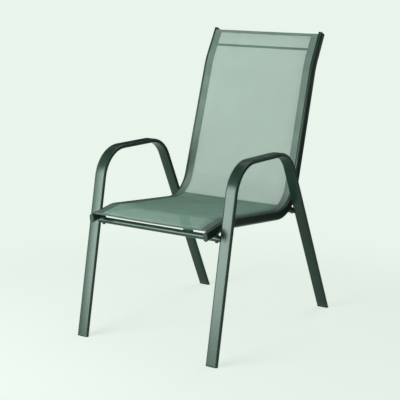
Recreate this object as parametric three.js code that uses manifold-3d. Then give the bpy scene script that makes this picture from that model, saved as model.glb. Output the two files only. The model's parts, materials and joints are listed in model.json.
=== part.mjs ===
// Sling patio chair: two bent side frames, two crossbars and a mesh sling stretched between two rails.
// Millimetres, +Z up. The front faces -Y. Places are worked out from the floor midway between the feet,
// and the finished chair is then moved so that the origin is the middle of its overall depth.
import * as THREE from "three";
import { mergeVertices } from "three/addons/utils/BufferGeometryUtils.js";
import Module from "manifold-3d";

const wasm = await Module();
wasm.setup();

// Fits that all pieces share
const fitGap = 0.3; // air between two pieces that touch
const cutOverrun = 3; // how far a cutter runs past the face that it cuts
const axisOfX = new THREE.Vector3(1, 0, 0);

// Side frames, each one flat-oval steel tube bent into front leg, armrest and back leg
const frameSpacing = 492; // between the centre planes of the two frames
const footSpread = 708; // front foot to back foot, centre to centre on the floor
const armHeightFront = 590; // centre line at the front corner, before the bend rounds it
const armHeightBack = 585;
const frontBendRadius = 105; // on the centre line
const backBendRadius = 103;
const frameTubeWidth = 41; // across the chair
const frameTubeThickness = 13;
const frameTubeWall = 1.5;
const frameBendSteps = 9;
const frameSideSteps = 6;

// Sling rails, each one slotted flat-oval tube bent along the seat and the back
const railLegClearance = 5.4; // from a rail's outer face to the leg beside it
const railLeanDegrees = 0.75; // both rails lean towards each other above the seat
const railWidth = 15; // across the chair
const railDepth = 28; // from the sitter's side to the under side
const railWall = 1.5;
const railSlot = 3;
const railSlotInset = 4; // from the rail's middle plane towards the middle of the chair
const railFrontY = -340; // centre line at the front end
const railFrontHeight = 388.3;
const waterfallRun = 105.5; // front end to the crest of the seat
const waterfallRise = 16.4;
const seatRun = 401; // crest to the heel, where seat and back meet
const seatDrop = 41.4;
const backRun = 144; // heel to the bend near the top
const backRise = 473;
const headRun = 56; // last stretch, which leans further back
const headRise = 101.4;
const crestRadius = 100;
const heelRadius = 112;
const headBendRadius = 204;
const crestSteps = 2;
const heelSteps = 8;
const headSteps = 3;
const railSideSteps = 8;

// Crossbars, round tube, with a spigot in each end that enters the leg
const barDiameter = 19;
const barWall = 1.5;
const barSideCount = 20;
const barCope = 5; // how far the bar's end reaches round the leg's inner side
const frontBarSetback = 57; // along the rail, from its front end
const backBarBendShare = 0.55; // place in the heel bend, from the seat end to the back end
const saddleThickness = 2.5; // between bar and rail
const saddleDiameter = 14;
const spigotLength = 34;
const spigotNeckDiameter = 8;
const spigotNeckLength = 8; // into the leg, past its inner wall

// Bolt through bar, spigot and saddle into a threaded slug inside the rail
const boltDiameter = 6;
const boltHeadDiameter = 10.5;
const boltHeadHeight = 3.3;
const boltSocketWidth = 4;
const boltSocketSides = 6;
const boltSocketDepth = 2;
const slugDiameter = 10;
const slugHeight = 8;
const slugThreadSpare = 1; // slug left above the bolt's end

// Spreader rod behind the mesh near the top, with a countersunk screw through each rail
const spreaderDrop = 57; // along the rail, below its top end
const spreaderDiameter = 8;
const spreaderScrewDiameter = 4;
const spreaderScrewHeadDiameter = 8;
const spreaderScrewHeadHeight = 2.2;
const spreaderScrewGrip = 12; // thread inside the rod
const spreaderBoreSpare = 2; // bore left past the screw's end
const smallSideCount = 12;

// Sling: one sheet of coated mesh, doubled at its side hems, which loop round a cord inside each rail
const slingThickness = 1;
const hemWidth = 26;
const hemThickness = 1.8;
const hemTongueThickness = 1.6; // two layers that pass the rail's slot
const hemLoopThickness = 0.8;
const hemLoopSlit = 0.8;
const cordDiameter = 5;
const cordSideCount = 8;
const slingFrontInset = 8; // from the rail's front end to the sheet's edge
const slingTopInset = 6;
const cordEndInset = 3; // the cord ends this far inside the sheet's edge
const frontEdgeSag = 6;
const seatSag = 7;
const heelSag = 1.5;
const backSag = 5;
const topEdgeSag = 1;
const slingAcrossShares = [0.28, 0.76, 1]; // places from a rail's hem to the middle of the sheet
const slingStationSpacing = 110; // longest straight run between two sections of the sheet
// A plain grid of openings in the single layer, in place of its fine weave
const openingColumns = 8;
const openingRowSpacing = 55; // along the rail, from one row to the next
const openingLength = 37; // along the sheet
const openingBar = 14; // mesh left between two openings of a row, and beside the hems
const endHemWidth = 10; // folded edges at the front and at the top, left whole
// Sag at the sheet's middle, by the share of its length from the front edge to the top edge
const slingSags = [
  { share: 0, sag: frontEdgeSag },
  { share: 0.2, sag: seatSag },
  { share: 0.45, sag: heelSag },
  { share: 0.7, sag: backSag },
  { share: 1, sag: topEdgeSag },
];
const loopOuterSteps = 3;
const loopInnerSteps = 6;

// Plastic ends
const glideFlange = 3; // height of the foot under the tube's end
const glideLip = 0.4; // how far the foot stands out past the tube
const glidePlugDepth = 16;
const capThickness = 3;
const capLip = 0.3;
const capRound = 1; // rounded edge of a rail's end cap
const capRoundSteps = 2;
const capPlugDepth = 12;

// Colours and finishes
const steelFinish = { color: 0x2c3832, roughness: 0.42, metalness: 0.25 };
const zincFinish = { color: 0x6d736f, roughness: 0.4, metalness: 0.8 };
const screwFinish = { color: 0x242b27, roughness: 0.4, metalness: 0.6 };
const plasticFinish = { color: 0x222a26, roughness: 0.55, metalness: 0 };
const slingFinish = { color: 0x6f8577, roughness: 0.75, metalness: 0 };
const cordFinish = { color: 0x9aa29c, roughness: 0.6, metalness: 0 };

// Places worked out from the sizes above
const frameX = frameSpacing / 2;
const legInnerX = frameX - frameTubeWidth / 2;
const railX = legInnerX - railLegClearance - railWidth / 2;
const railLean = THREE.MathUtils.degToRad(railLeanDegrees);
const railHalf = railDepth / 2;
const barRadius = barDiameter / 2;
const boltHoleRadius = boltDiameter / 2 + fitGap;
const cordRadius = cordDiameter / 2;
// The loop's flats stay clear of the cord, so its corners lie on a slightly larger circle
const loopInnerRadius = (cordRadius + fitGap) / Math.cos(Math.PI / loopInnerSteps);
const loopOuterRadius = loopInnerRadius + hemLoopThickness;
const railBoreRadius = railWidth / 2 - railWall;
const railBoreCentre = railHalf - railWidth / 2;
// The loop lies against the bore's inner side, below the slot; the bore's flats come nearer than its arc
const railBoreFlat = railBoreRadius * Math.cos(Math.PI / 2 / railSideSteps);
const cordInset = railBoreFlat - loopOuterRadius - fitGap;
const cordHeight = railBoreCentre;

// The station at a share of the way from one station to another
function between(from, to, share) {
  return {
    place: from.place.clone().lerp(to.place, share),
    heading: from.heading.clone().lerp(to.heading, share).normalize(),
  };
}

// A path in the YZ plane: straight runs joined by arcs, with a station at each end of a run and arc step.
class BentPath extends THREE.Curve {
  constructor(corners, bends) {
    super();
    this.stations = [];
    const last = corners.length - 1;
    const headings = corners.slice(1).map((corner, i) => corner.clone().sub(corners[i]).normalize());
    this.addStation(corners[0], headings[0]);
    bends.forEach((bend, i) => this.addBend(corners[i + 1], headings[i], headings[i + 1], bend));
    this.addStation(corners[last], headings[last - 1]);
  }
  addStation(place, heading) {
    this.stations.push({ place: place.clone(), heading: heading.clone() });
  }
  addBend(corner, before, after, { radius, steps }) {
    const turn = Math.atan2(before.cross(after), before.dot(after));
    const start = corner.clone().addScaledVector(before, -radius * Math.tan(Math.abs(turn) / 2));
    const toCentre = new THREE.Vector2(-before.y, before.x).multiplyScalar(Math.sign(turn));
    const centre = start.clone().addScaledVector(toCentre, radius);
    for (let step = 0; step <= steps; step += 1) {
      const angle = (turn * step) / steps;
      const heading = before.clone().rotateAround(new THREE.Vector2(), angle);
      this.addStation(start.clone().rotateAround(centre, angle), heading);
    }
  }
  // The station at a share of the way, as place and heading in (y, z)
  stationAt(t) {
    const count = this.stations.length - 1;
    const i = Math.min(Math.floor(t * count), count - 1);
    return between(this.stations[i], this.stations[i + 1], t * count - i);
  }
  getPoint(t, target = new THREE.Vector3()) {
    const { place } = this.stationAt(t);
    return target.set(0, place.x, place.y);
  }
  getPointAt(u, target) {
    return this.getPoint(u, target);
  }
  getTangentAt(u, target = new THREE.Vector3()) {
    const { heading } = this.stationAt(u);
    return target.set(0, heading.x, heading.y);
  }
}

// The direction square to a heading, towards the path's left: outwards on a frame, to the sitter on a rail
function leftOf(heading) {
  return new THREE.Vector2(-heading.y, heading.x);
}

// A flat oval, with half circles on its two narrow sides
function ovalPoints(width, height, steps) {
  const radius = Math.min(width, height) / 2;
  const reach = new THREE.Vector2(width / 2 - radius, height / 2 - radius);
  const start = width > height ? -Math.PI / 2 : 0;
  const points = [];
  for (const half of [0, 1]) {
    const centre = reach.clone().multiplyScalar(half ? -1 : 1);
    for (let step = 0; step <= steps; step += 1) {
      const angle = start + Math.PI * (half + step / steps);
      points.push(new THREE.Vector2(Math.cos(angle), Math.sin(angle)).multiplyScalar(radius).add(centre));
    }
  }
  return points;
}

function arcPoints(radius, centreY, from, to, steps) {
  return Array.from({ length: steps + 1 }, (_, step) => {
    const angle = from + ((to - from) * step) / steps;
    return new THREE.Vector2(radius * Math.cos(angle), centreY + radius * Math.sin(angle));
  });
}

// The right rail's section or its mirror image: a flat-oval tube with a slot on the sitter's side
function slottedOval(side) {
  const outer = railWidth / 2;
  const innerLip = (radius) => Math.acos((railSlotInset + railSlot / 2) / radius);
  const outerLip = (radius) => Math.acos((railSlotInset - railSlot / 2) / radius);
  const lipSteps = railSideSteps / 2;
  const points = [
    ...arcPoints(outer, railBoreCentre, innerLip(outer), 0, lipSteps),
    ...arcPoints(outer, -railBoreCentre, 0, -Math.PI, railSideSteps),
    ...arcPoints(outer, railBoreCentre, Math.PI, outerLip(outer), railSideSteps),
    ...arcPoints(railBoreRadius, railBoreCentre, outerLip(railBoreRadius), Math.PI, railSideSteps),
    ...arcPoints(railBoreRadius, -railBoreCentre, -Math.PI, 0, railSideSteps),
    ...arcPoints(railBoreRadius, railBoreCentre, 0, innerLip(railBoreRadius), lipSteps),
  ];
  return new THREE.Shape(mirroredOutline(points, side));
}

// An outline made for the right side, with x turned round for the left
function mirroredOutline(points, side) {
  if (sides[side] > 0) return points;
  return points.map((point) => new THREE.Vector2(-point.x, point.y)).reverse();
}

// A section carried along a path: its x lies across the chair, towards -X, and its y along the path's left
function sweep(shape, path) {
  return new THREE.ExtrudeGeometry(shape, { steps: path.stations.length - 1, extrudePath: path });
}

function toSolid(geometry) {
  const bare = geometry.clone();
  bare.deleteAttribute("normal");
  bare.deleteAttribute("uv");
  const merged = mergeVertices(bare);
  return new wasm.Manifold(
    new wasm.Mesh({
      numProp: 3,
      vertProperties: new Float32Array(merged.attributes.position.array),
      triVerts: new Uint32Array(merged.index.array),
    }),
  );
}

function toGeometry(solid) {
  const { numProp, vertProperties, triVerts } = solid.getMesh();
  const positions = new Float32Array((vertProperties.length / numProp) * 3);
  for (let i = 0; i < positions.length / 3; i += 1)
    positions.set(vertProperties.subarray(i * numProp, i * numProp + 3), i * 3);
  const geometry = new THREE.BufferGeometry();
  geometry.setAttribute("position", new THREE.BufferAttribute(positions, 3));
  geometry.setIndex(new THREE.BufferAttribute(new Uint32Array(triVerts), 1));
  geometry.computeVertexNormals();
  return geometry;
}

// The first geometry with the others cut away from it
function cut(geometry, cutters) {
  return toGeometry(cutters.reduce((solid, cutter) => solid.subtract(toSolid(cutter)), toSolid(geometry)));
}

// A solid of revolution along +Z; its profile of radius and height pairs closes on the axis or on itself
function turned(profile, sides) {
  const points = profile.map(([radius, height]) => new THREE.Vector2(radius, height));
  return new THREE.LatheGeometry(points, sides).rotateX(Math.PI / 2);
}

function rod(radius, from, to, sides) {
  return turned([[0, from], [radius, from], [radius, to], [0, to]], sides);
}

function tube(outerRadius, innerRadius, from, to, sides) {
  const start = [innerRadius, from];
  return turned([start, [outerRadius, from], [outerRadius, to], [innerRadius, to], start], sides);
}

// Turns a shape that was made along +Z so that it lies along +X
function alongX(geometry) {
  return geometry.rotateY(Math.PI / 2);
}

// The rail's centre line, shortened at its two ends
function railPath(frontInset = 0, topInset = 0) {
  const front = new THREE.Vector2(railFrontY, railFrontHeight);
  const crest = front.clone().add(new THREE.Vector2(waterfallRun, waterfallRise));
  const heel = crest.clone().add(new THREE.Vector2(seatRun, -seatDrop));
  const head = heel.clone().add(new THREE.Vector2(backRun, backRise));
  const top = head.clone().add(new THREE.Vector2(headRun, headRise));
  front.add(crest.clone().sub(front).setLength(frontInset));
  top.add(head.clone().sub(top).setLength(topInset));
  return new BentPath(
    [front, crest, heel, head, top],
    [
      { radius: crestRadius, steps: crestSteps },
      { radius: heelRadius, steps: heelSteps },
      { radius: headBendRadius, steps: headSteps },
    ],
  );
}

const railLine = railPath();
const railFrontEnd = railLine.stations[0];
const railTopEnd = railLine.stations[railLine.stations.length - 1];

// The rail stations that sit on the two crossbars
function frontBarStation() {
  const { place, heading } = railFrontEnd;
  return { place: place.clone().addScaledVector(heading, frontBarSetback), heading: heading.clone() };
}

function backBarStation() {
  const firstOfHeel = 1 + crestSteps + 1;
  const step = firstOfHeel + backBarBendShare * heelSteps;
  return railLine.stationAt(step / (railLine.stations.length - 1));
}

// A crossbar lies under the rail, one saddle away; its place is (y, z)
function barUnder({ place, heading }) {
  return place.clone().addScaledVector(leftOf(heading), -(railHalf + saddleThickness + barRadius));
}

const barStations = { front: frontBarStation(), back: backBarStation() };
const barPlaces = { front: barUnder(barStations.front), back: barUnder(barStations.back) };

// Each leg runs from its foot through the end of its crossbar up to the armrest's corner
function legTop(footY, bar, height) {
  return new THREE.Vector2(footY + ((bar.x - footY) * height) / bar.y, height);
}

// The frame's centre line; both ends run on below the floor, where they are trimmed
function framePath() {
  const frontFoot = new THREE.Vector2(-footSpread / 2, 0);
  const backFoot = new THREE.Vector2(footSpread / 2, 0);
  const frontCorner = legTop(frontFoot.x, barPlaces.front, armHeightFront);
  const backCorner = legTop(backFoot.x, barPlaces.back, armHeightBack);
  frontFoot.add(frontFoot.clone().sub(frontCorner).setLength(frameTubeWidth));
  backFoot.add(backFoot.clone().sub(backCorner).setLength(frameTubeWidth));
  return new BentPath(
    [frontFoot, frontCorner, backCorner, backFoot],
    [
      { radius: frontBendRadius, steps: frameBendSteps },
      { radius: backBendRadius, steps: frameBendSteps },
    ],
  );
}

const frameLine = framePath();
const legStations = {
  front: frameLine.stations[0],
  back: frameLine.stations[frameLine.stations.length - 1],
};

function frameSection(growth) {
  return ovalPoints(frameTubeWidth + 2 * growth, frameTubeThickness + 2 * growth, frameSideSteps);
}

// A slab as large as the frame, between two heights
function slab(from, to) {
  const box = new THREE.BoxGeometry(2 * frameSpacing, 2 * footSpread, to - from);
  return box.translate(0, 0, (from + to) / 2);
}

// The groups that hold what belongs to one rail; the rail leans about the seat's height
function railGroup(side) {
  const pivot = new THREE.Group();
  pivot.position.set(side * railX, 0, railFrontHeight);
  pivot.rotation.y = -side * railLean;
  const frame = new THREE.Group();
  frame.position.z = -railFrontHeight;
  pivot.add(frame);
  pivot.updateMatrixWorld(true);
  return { pivot, frame };
}

const sides = { left: -1, right: 1 };
const railGroups = { left: railGroup(sides.left), right: railGroup(sides.right) };

// A matrix that sets a shape made along +Z on a rail station, with +Z towards the sitter
function towardsSitter({ place, heading }) {
  const ahead = new THREE.Vector3(0, heading.x, heading.y);
  const left = new THREE.Vector3(0, -heading.y, heading.x);
  return new THREE.Matrix4().makeBasis(axisOfX, ahead, left).setPosition(0, place.x, place.y);
}

// The same with +Z out of the rail's end and +Y towards the sitter; ahead is 1 at the top, -1 at the front
function outOfEnd({ place, heading }, ahead) {
  const out = new THREE.Vector3(0, heading.x, heading.y).multiplyScalar(ahead);
  const left = new THREE.Vector3(0, -heading.y, heading.x);
  const across = new THREE.Vector3().crossVectors(left, out);
  return new THREE.Matrix4().makeBasis(across, left, out).setPosition(0, place.x, place.y);
}

// A geometry of a rail's group moved into the chair's frame, and back
function fromRail(geometry, side) {
  return geometry.clone().applyMatrix4(railGroups[side].frame.matrixWorld);
}

function intoRail(geometry, side) {
  return geometry.clone().applyMatrix4(railGroups[side].frame.matrixWorld.clone().invert());
}

// Geometry made for the right side, turned half round the vertical for the left
function mirrored(geometry, side) {
  return sides[side] < 0 ? geometry.rotateZ(Math.PI) : geometry;
}

// Bolts: one below each rail at each crossbar, square to the rail
const boltTop = -(railHalf - railWall) + slugHeight - slugThreadSpare;
const boltSeat = -(railHalf + saddleThickness + barDiameter + fitGap);

function boltGeometry(station) {
  const stem = boltDiameter / 2;
  const head = boltHeadDiameter / 2;
  const bottom = boltSeat - boltHeadHeight;
  const profile = [
    [0, bottom],
    [(head + stem) / 2, bottom],
    [head, (boltSeat + bottom) / 2],
    [head, boltSeat],
    [stem, boltSeat],
    [stem, boltTop],
    [0, boltTop],
  ];
  const socketRadius = boltSocketWidth / 2 / Math.cos(Math.PI / boltSocketSides);
  const socket = rod(socketRadius, bottom - cutOverrun, bottom + boltSocketDepth, boltSocketSides);
  return cut(turned(profile, smallSideCount), [socket]).applyMatrix4(towardsSitter(station));
}

// The hole for that bolt, through the crossbar, its spigot, the saddle and the rail's under side
function boltHole(station) {
  const hole = rod(boltHoleRadius, boltSeat - cutOverrun, boltTop + cutOverrun, smallSideCount);
  return hole.applyMatrix4(towardsSitter(station));
}

function frameGeometry(side) {
  const section = new THREE.Shape(frameSection(0));
  section.holes.push(new THREE.Path(frameSection(-frameTubeWall)));
  const bent = sweep(section, frameLine).translate(sides[side] * frameX, 0, 0);
  const neckHoles = Object.values(barPlaces).map((place) => {
    const hole = rod(spigotNeckDiameter / 2 + fitGap, legInnerX - cutOverrun, frameX, smallSideCount);
    return mirrored(alongX(hole), side).translate(0, place.x, place.y);
  });
  return cut(bent, [slab(-2 * frameTubeWidth, glideFlange), ...neckHoles]);
}

// The leg's outer shape grown by the fit, for the crossbars' ends to be cut against
function frameCutter(side) {
  return sweep(new THREE.Shape(frameSection(fitGap)), frameLine).translate(sides[side] * frameX, 0, 0);
}

function barGeometry(end) {
  const place = barPlaces[end];
  const reach = legInnerX + barCope;
  const bar = alongX(tube(barRadius, barRadius - barWall, -reach, reach, barSideCount));
  const holes = Object.keys(sides).map((side) => fromRail(boltHole(barStations[end]), side));
  return cut(bar.translate(0, place.x, place.y), [...Object.keys(sides).map(frameCutter), ...holes]);
}

// A solid plug in the crossbar's end, with a neck that enters the leg
function spigotGeometry(end, side) {
  const place = barPlaces[end];
  const body = barRadius - barWall - fitGap;
  const neck = spigotNeckDiameter / 2;
  const shoulder = legInnerX - fitGap;
  const tip = legInnerX + spigotNeckLength;
  const profile = [
    [0, shoulder - spigotLength],
    [body, shoulder - spigotLength],
    [body, shoulder],
    [neck, shoulder],
    [neck, tip],
    [0, tip],
  ];
  const spigot = mirrored(alongX(turned(profile, barSideCount)), side).translate(0, place.x, place.y);
  return cut(spigot, [fromRail(boltHole(barStations[end]), side)]);
}

// The spreader's place in (y, z), and the distance from the middle plane to a rail's face there
function spreaderStation() {
  const { place, heading } = railTopEnd;
  return { place: place.clone().addScaledVector(heading, -spreaderDrop), heading: heading.clone() };
}

function spreaderSpot(acrossRail) {
  const { place } = spreaderStation();
  const spot = new THREE.Vector3(acrossRail, place.x, place.y);
  return spot.applyMatrix4(railGroups.right.frame.matrixWorld);
}

const spreaderPlace = spreaderSpot(0);
const spreaderFaces = { inner: spreaderSpot(-railWidth / 2).x, outer: spreaderSpot(railWidth / 2).x };

function spreaderGeometry() {
  const reach = spreaderFaces.inner - fitGap;
  const bar = alongX(rod(spreaderDiameter / 2, -reach, reach, smallSideCount));
  const depth = spreaderFaces.inner - spreaderScrewGrip - spreaderBoreSpare;
  const bores = Object.keys(sides).map((side) => {
    const bore = rod(spreaderScrewDiameter / 2 + fitGap, depth, reach + cutOverrun, smallSideCount);
    return mirrored(alongX(bore), side);
  });
  return cut(bar, bores).translate(0, spreaderPlace.y, spreaderPlace.z);
}

// A countersunk screw with its head level with the rail's outer face, or the grown cutter for its hole
function spreaderScrew(side, growth = 0) {
  const stem = spreaderScrewDiameter / 2 + growth;
  const head = spreaderScrewHeadDiameter / 2 + growth;
  const profile = [
    [0, spreaderFaces.inner - spreaderScrewGrip],
    [stem, spreaderFaces.inner - spreaderScrewGrip],
    [stem, spreaderFaces.outer - spreaderScrewHeadHeight],
    [head, spreaderFaces.outer],
  ];
  const end = spreaderFaces.outer + (growth > 0 ? cutOverrun : 0);
  if (end > spreaderFaces.outer) profile.push([head, end]);
  profile.push([0, end]);
  const screw = mirrored(alongX(turned(profile, smallSideCount)), side);
  return screw.translate(0, spreaderPlace.y, spreaderPlace.z);
}

function railGeometry(side) {
  const boltHoles = Object.values(barStations).map(boltHole);
  const screwHole = intoRail(spreaderScrew(side, fitGap), side);
  return cut(sweep(slottedOval(side), railLine), [...boltHoles, screwHole]);
}

// A solid of the rail's outer shape, grown or shrunk all round
function railCore(growth) {
  const outline = ovalPoints(railWidth + 2 * growth, railDepth + 2 * growth, railSideSteps);
  return sweep(new THREE.Shape(outline), railLine);
}

// The saddle fills the space between the round crossbar and the rail's rounded under side
function saddleGeometry(end, side) {
  const barCentre = -(railHalf + saddleThickness + barRadius);
  const block = rod(saddleDiameter / 2, barCentre, -railBoreCentre, barSideCount);
  const bar = alongX(rod(barRadius + fitGap, 0, 2 * railX, barSideCount));
  mirrored(bar, side).translate(0, barPlaces[end].x, barPlaces[end].y);
  const cutters = [intoRail(bar, side), railCore(fitGap), boltHole(barStations[end])];
  return cut(block.applyMatrix4(towardsSitter(barStations[end])), cutters);
}

// A threaded slug that lies on the bottom of the rail's bore
function slugGeometry(station) {
  const bottom = -(railHalf - railWall);
  const block = rod(slugDiameter / 2, bottom, bottom + slugHeight, smallSideCount);
  const bore = toSolid(railCore(-railWall - fitGap));
  const slug = toSolid(block.applyMatrix4(towardsSitter(station))).intersect(bore);
  return toGeometry(slug.subtract(toSolid(boltHole(station))));
}

// The cord that the sling's hem loops round, inside the rail
function cordGeometry(side) {
  const section = arcPoints(cordRadius, cordHeight, 0, 2 * Math.PI, cordSideCount).slice(1);
  const path = railPath(slingFrontInset + cordEndInset, slingTopInset + cordEndInset);
  return sweep(new THREE.Shape(section), path).translate(-sides[side] * cordInset, 0, 0);
}

// A rail's end cap: a rounded cover over the tube's end and a plug below the hem's loop
function capGeometry(station, ahead) {
  const growth = 2 * (capLip - capRound);
  const coverOutline = ovalPoints(railWidth + growth, railDepth + growth, railSideSteps);
  const cover = new THREE.ExtrudeGeometry(new THREE.Shape(coverOutline), {
    depth: capThickness - 2 * capRound,
    bevelThickness: capRound,
    bevelSize: capRound,
    bevelSegments: capRoundSteps,
  });
  cover.translate(0, 0, capRound + fitGap);
  const inset = 2 * (railWall + fitGap);
  const limit = new THREE.Vector2(railWidth, cordHeight - loopOuterRadius - fitGap);
  const plugOval = ovalPoints(railWidth - inset, railDepth - inset, railSideSteps);
  const plugOutline = withoutRepeats(plugOval.map((point) => point.min(limit)));
  const plug = new THREE.ExtrudeGeometry(new THREE.Shape(plugOutline), {
    depth: capPlugDepth + capThickness / 2,
    bevelEnabled: false,
  });
  plug.translate(0, 0, -capPlugDepth);
  return toGeometry(toSolid(cover).add(toSolid(plug))).applyMatrix4(outOfEnd(station, ahead));
}

// An outline without the points that lie on a straight stretch between their neighbours
function withoutRepeats(points) {
  return points.filter((point, i) => {
    const before = point.clone().sub(points.at(i - 1));
    const after = points[(i + 1) % points.length].clone().sub(point);
    return Math.abs(before.cross(after)) > Number.EPSILON;
  });
}

// A foot: a flange under the leg's trimmed end and a plug inside the tube
function glideGeometry(side, end) {
  const sole = toSolid(sweep(new THREE.Shape(frameSection(glideLip)), frameLine));
  const plug = toSolid(sweep(new THREE.Shape(frameSection(-frameTubeWall - fitGap)), frameLine));
  const flange = sole.intersect(toSolid(slab(0, glideFlange - fitGap)));
  const foot = flange.add(plug.intersect(toSolid(slab(glideFlange / 2, glideFlange + glidePlugDepth))));
  const half = new THREE.BoxGeometry(2 * frameSpacing, footSpread, 2 * frameTubeWidth);
  half.translate(0, (Math.sign(legStations[end].place.x) * footSpread) / 2, 0);
  return toGeometry(foot.intersect(toSolid(half))).translate(sides[side] * frameX, 0, 0);
}

// The sheet's edge at one rail: distance from the rail towards the middle, and height over its centre line
function hemOutline() {
  const sheetTop = railHalf + fitGap + hemThickness;
  const tongueStart = railSlotInset - hemTongueThickness / 2;
  const tongueEnd = railSlotInset + hemTongueThickness / 2;
  const startJoint = Math.acos((tongueStart - cordInset) / loopOuterRadius);
  const endJoint = Math.acos((tongueEnd - cordInset) / loopOuterRadius);
  const outerSlit = hemLoopSlit / 2 / loopOuterRadius;
  const innerSlit = hemLoopSlit / 2 / loopInnerRadius;
  const down = Math.PI / 2;
  const loop = [
    ...arcPoints(loopOuterRadius, cordHeight, startJoint, 3 * down - outerSlit, 2 * loopOuterSteps - 1),
    ...arcPoints(loopInnerRadius, cordHeight, 3 * down - innerSlit, -down + innerSlit, loopInnerSteps),
    ...arcPoints(loopOuterRadius, cordHeight, -down + outerSlit, endJoint, loopOuterSteps),
  ];
  return [
    new THREE.Vector2(tongueStart, sheetTop),
    ...loop.map((point) => new THREE.Vector2(point.x + cordInset, point.y)),
    new THREE.Vector2(tongueEnd, railHalf + fitGap),
    new THREE.Vector2(hemWidth, railHalf + fitGap),
    new THREE.Vector2(hemWidth, sheetTop - slingThickness),
  ];
}

// The sheet's whole section as a closed outline, for a given half width between rail and middle
function slingSection(halfSpan) {
  const sheetTop = railHalf + fitGap + hemThickness;
  const acrossAt = (share) => hemWidth + share * (halfSpan - hemWidth);
  const surface = (height, shares) => shares.map((share) => new THREE.Vector2(acrossAt(share), height));
  const onSide = (points, side) => points.map((point) => ({ side, inward: point.x, height: point.y }));
  const underside = surface(sheetTop - slingThickness, slingAcrossShares);
  const upperSide = surface(sheetTop, [0, ...slingAcrossShares]);
  return [
    ...onSide(hemOutline(), "right"),
    ...onSide(underside, "right"),
    ...onSide(underside.slice(0, -1).reverse(), "left"),
    ...onSide(hemOutline().reverse(), "left"),
    ...onSide(upperSide, "left"),
    ...onSide(upperSide.slice(0, -1).reverse(), "right"),
  ];
}

// The sag at a share of the sheet's length, eased between the named places
function sagAt(share) {
  const next = Math.max(1, slingSags.findIndex((place) => place.share >= share));
  const [from, to] = [slingSags[next - 1], slingSags[next]];
  const ease = THREE.MathUtils.smoothstep(share, from.share, to.share);
  return THREE.MathUtils.lerp(from.sag, to.sag, ease);
}

// The rail's stations under the sheet, with long straight runs split
function slingStations() {
  const { stations } = railPath(slingFrontInset, slingTopInset);
  const split = [stations[0]];
  stations.slice(1).forEach((station, i) => {
    const from = stations[i];
    const parts = Math.ceil(from.place.distanceTo(station.place) / slingStationSpacing);
    for (let part = 1; part < parts; part += 1)
      split.push({ place: from.place.clone().lerp(station.place, part / parts), heading: from.heading });
    split.push(station);
  });
  return split;
}

// A place over a rail's centre line at one station, in the chair's frame
function overRail(side, { place, heading }, height) {
  const spot = place.clone().addScaledVector(leftOf(heading), height);
  return new THREE.Vector3(0, spot.x, spot.y).applyMatrix4(railGroups[side].frame.matrixWorld);
}

// A ring of points of the sheet at one station
function slingRing(station, sag) {
  const left = leftOf(station.heading);
  const halfSpan = overRail("right", station, railHalf).x;
  return slingSection(halfSpan).map(({ side, inward, height }) => {
    const point = overRail(side, station, height);
    point.x -= sides[side] * inward;
    const fromMiddle = Math.min(1, Math.max(0, 1 - inward / halfSpan));
    const drop = sag * (1 - fromMiddle ** 2);
    return point.add(new THREE.Vector3(0, -left.x * drop, -left.y * drop));
  });
}

// Cutters for one row of openings across the single layer
function openingRow(station, sag) {
  const halfSpan = overRail("right", station, railHalf).x;
  const spacing = (2 * (halfSpan - hemWidth) - openingBar) / openingColumns;
  const middle = railHalf + fitGap + hemThickness - slingThickness / 2;
  const size = [spacing - openingBar, openingLength, slingThickness + 2 * cutOverrun];
  return Array.from({ length: openingColumns }, (_, column) => {
    const across = (column - (openingColumns - 1) / 2) * spacing;
    const drop = sag * (1 - (across / halfSpan) ** 2);
    const cutter = new THREE.BoxGeometry(...size).translate(across, 0, middle - drop);
    return cutter.applyMatrix4(towardsSitter(station));
  });
}

// One closed body through rings that have the same points, with flat ends
function loft(rings, endOutline) {
  const count = rings[0].length;
  const faces = [];
  for (let ring = 0; ring + 1 < rings.length; ring += 1)
    for (let i = 0; i < count; i += 1) {
      const [a, b] = [ring * count + i, ring * count + ((i + 1) % count)];
      faces.push(a, b, a + count, b, b + count, a + count);
    }
  const lastRing = (rings.length - 1) * count;
  for (const [a, b, c] of THREE.ShapeUtils.triangulateShape(endOutline, []))
    faces.push(a, b, c, lastRing + a, lastRing + c, lastRing + b);
  const geometry = new THREE.BufferGeometry();
  const positions = rings.flat().flatMap((point) => point.toArray());
  geometry.setAttribute("position", new THREE.Float32BufferAttribute(positions, 3));
  geometry.setIndex(faces);
  geometry.computeVertexNormals();
  return geometry;
}

// The station at a distance from the first one
function stationAtDistance(stations, lengths, distance) {
  const next = Math.max(1, lengths.findIndex((length) => length >= distance));
  const share = (distance - lengths[next - 1]) / (lengths[next] - lengths[next - 1]);
  return between(stations[next - 1], stations[next], share);
}

function slingGeometry() {
  const stations = slingStations();
  const lengths = [0];
  stations.slice(1).forEach(({ place }, i) => {
    lengths.push(lengths[i] + place.distanceTo(stations[i].place));
  });
  const whole = lengths.at(-1);
  const rings = stations.map((station, i) => slingRing(station, sagAt(lengths[i] / whole)));
  const endOutline = slingSection(railX).map(
    ({ side, inward, height }) => new THREE.Vector2(sides[side] * (railX - inward), height),
  );
  const rows = 1 + Math.floor((whole - 2 * endHemWidth - openingLength) / openingRowSpacing);
  const cutters = Array.from({ length: rows }, (_, row) => {
    const distance = whole / 2 + (row - (rows - 1) / 2) * openingRowSpacing;
    return openingRow(stationAtDistance(stations, lengths, distance), sagAt(distance / whole));
  });
  return cut(loft(rings, endOutline), cutters.flat());
}

// The chair, piece by piece
const chair = new THREE.Group();
chair.name = "sling_patio_chair";

function addPiece(parent, name, geometry, finish) {
  const mesh = new THREE.Mesh(geometry, new THREE.MeshStandardMaterial(finish));
  mesh.name = name;
  parent.add(mesh);
}

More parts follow.
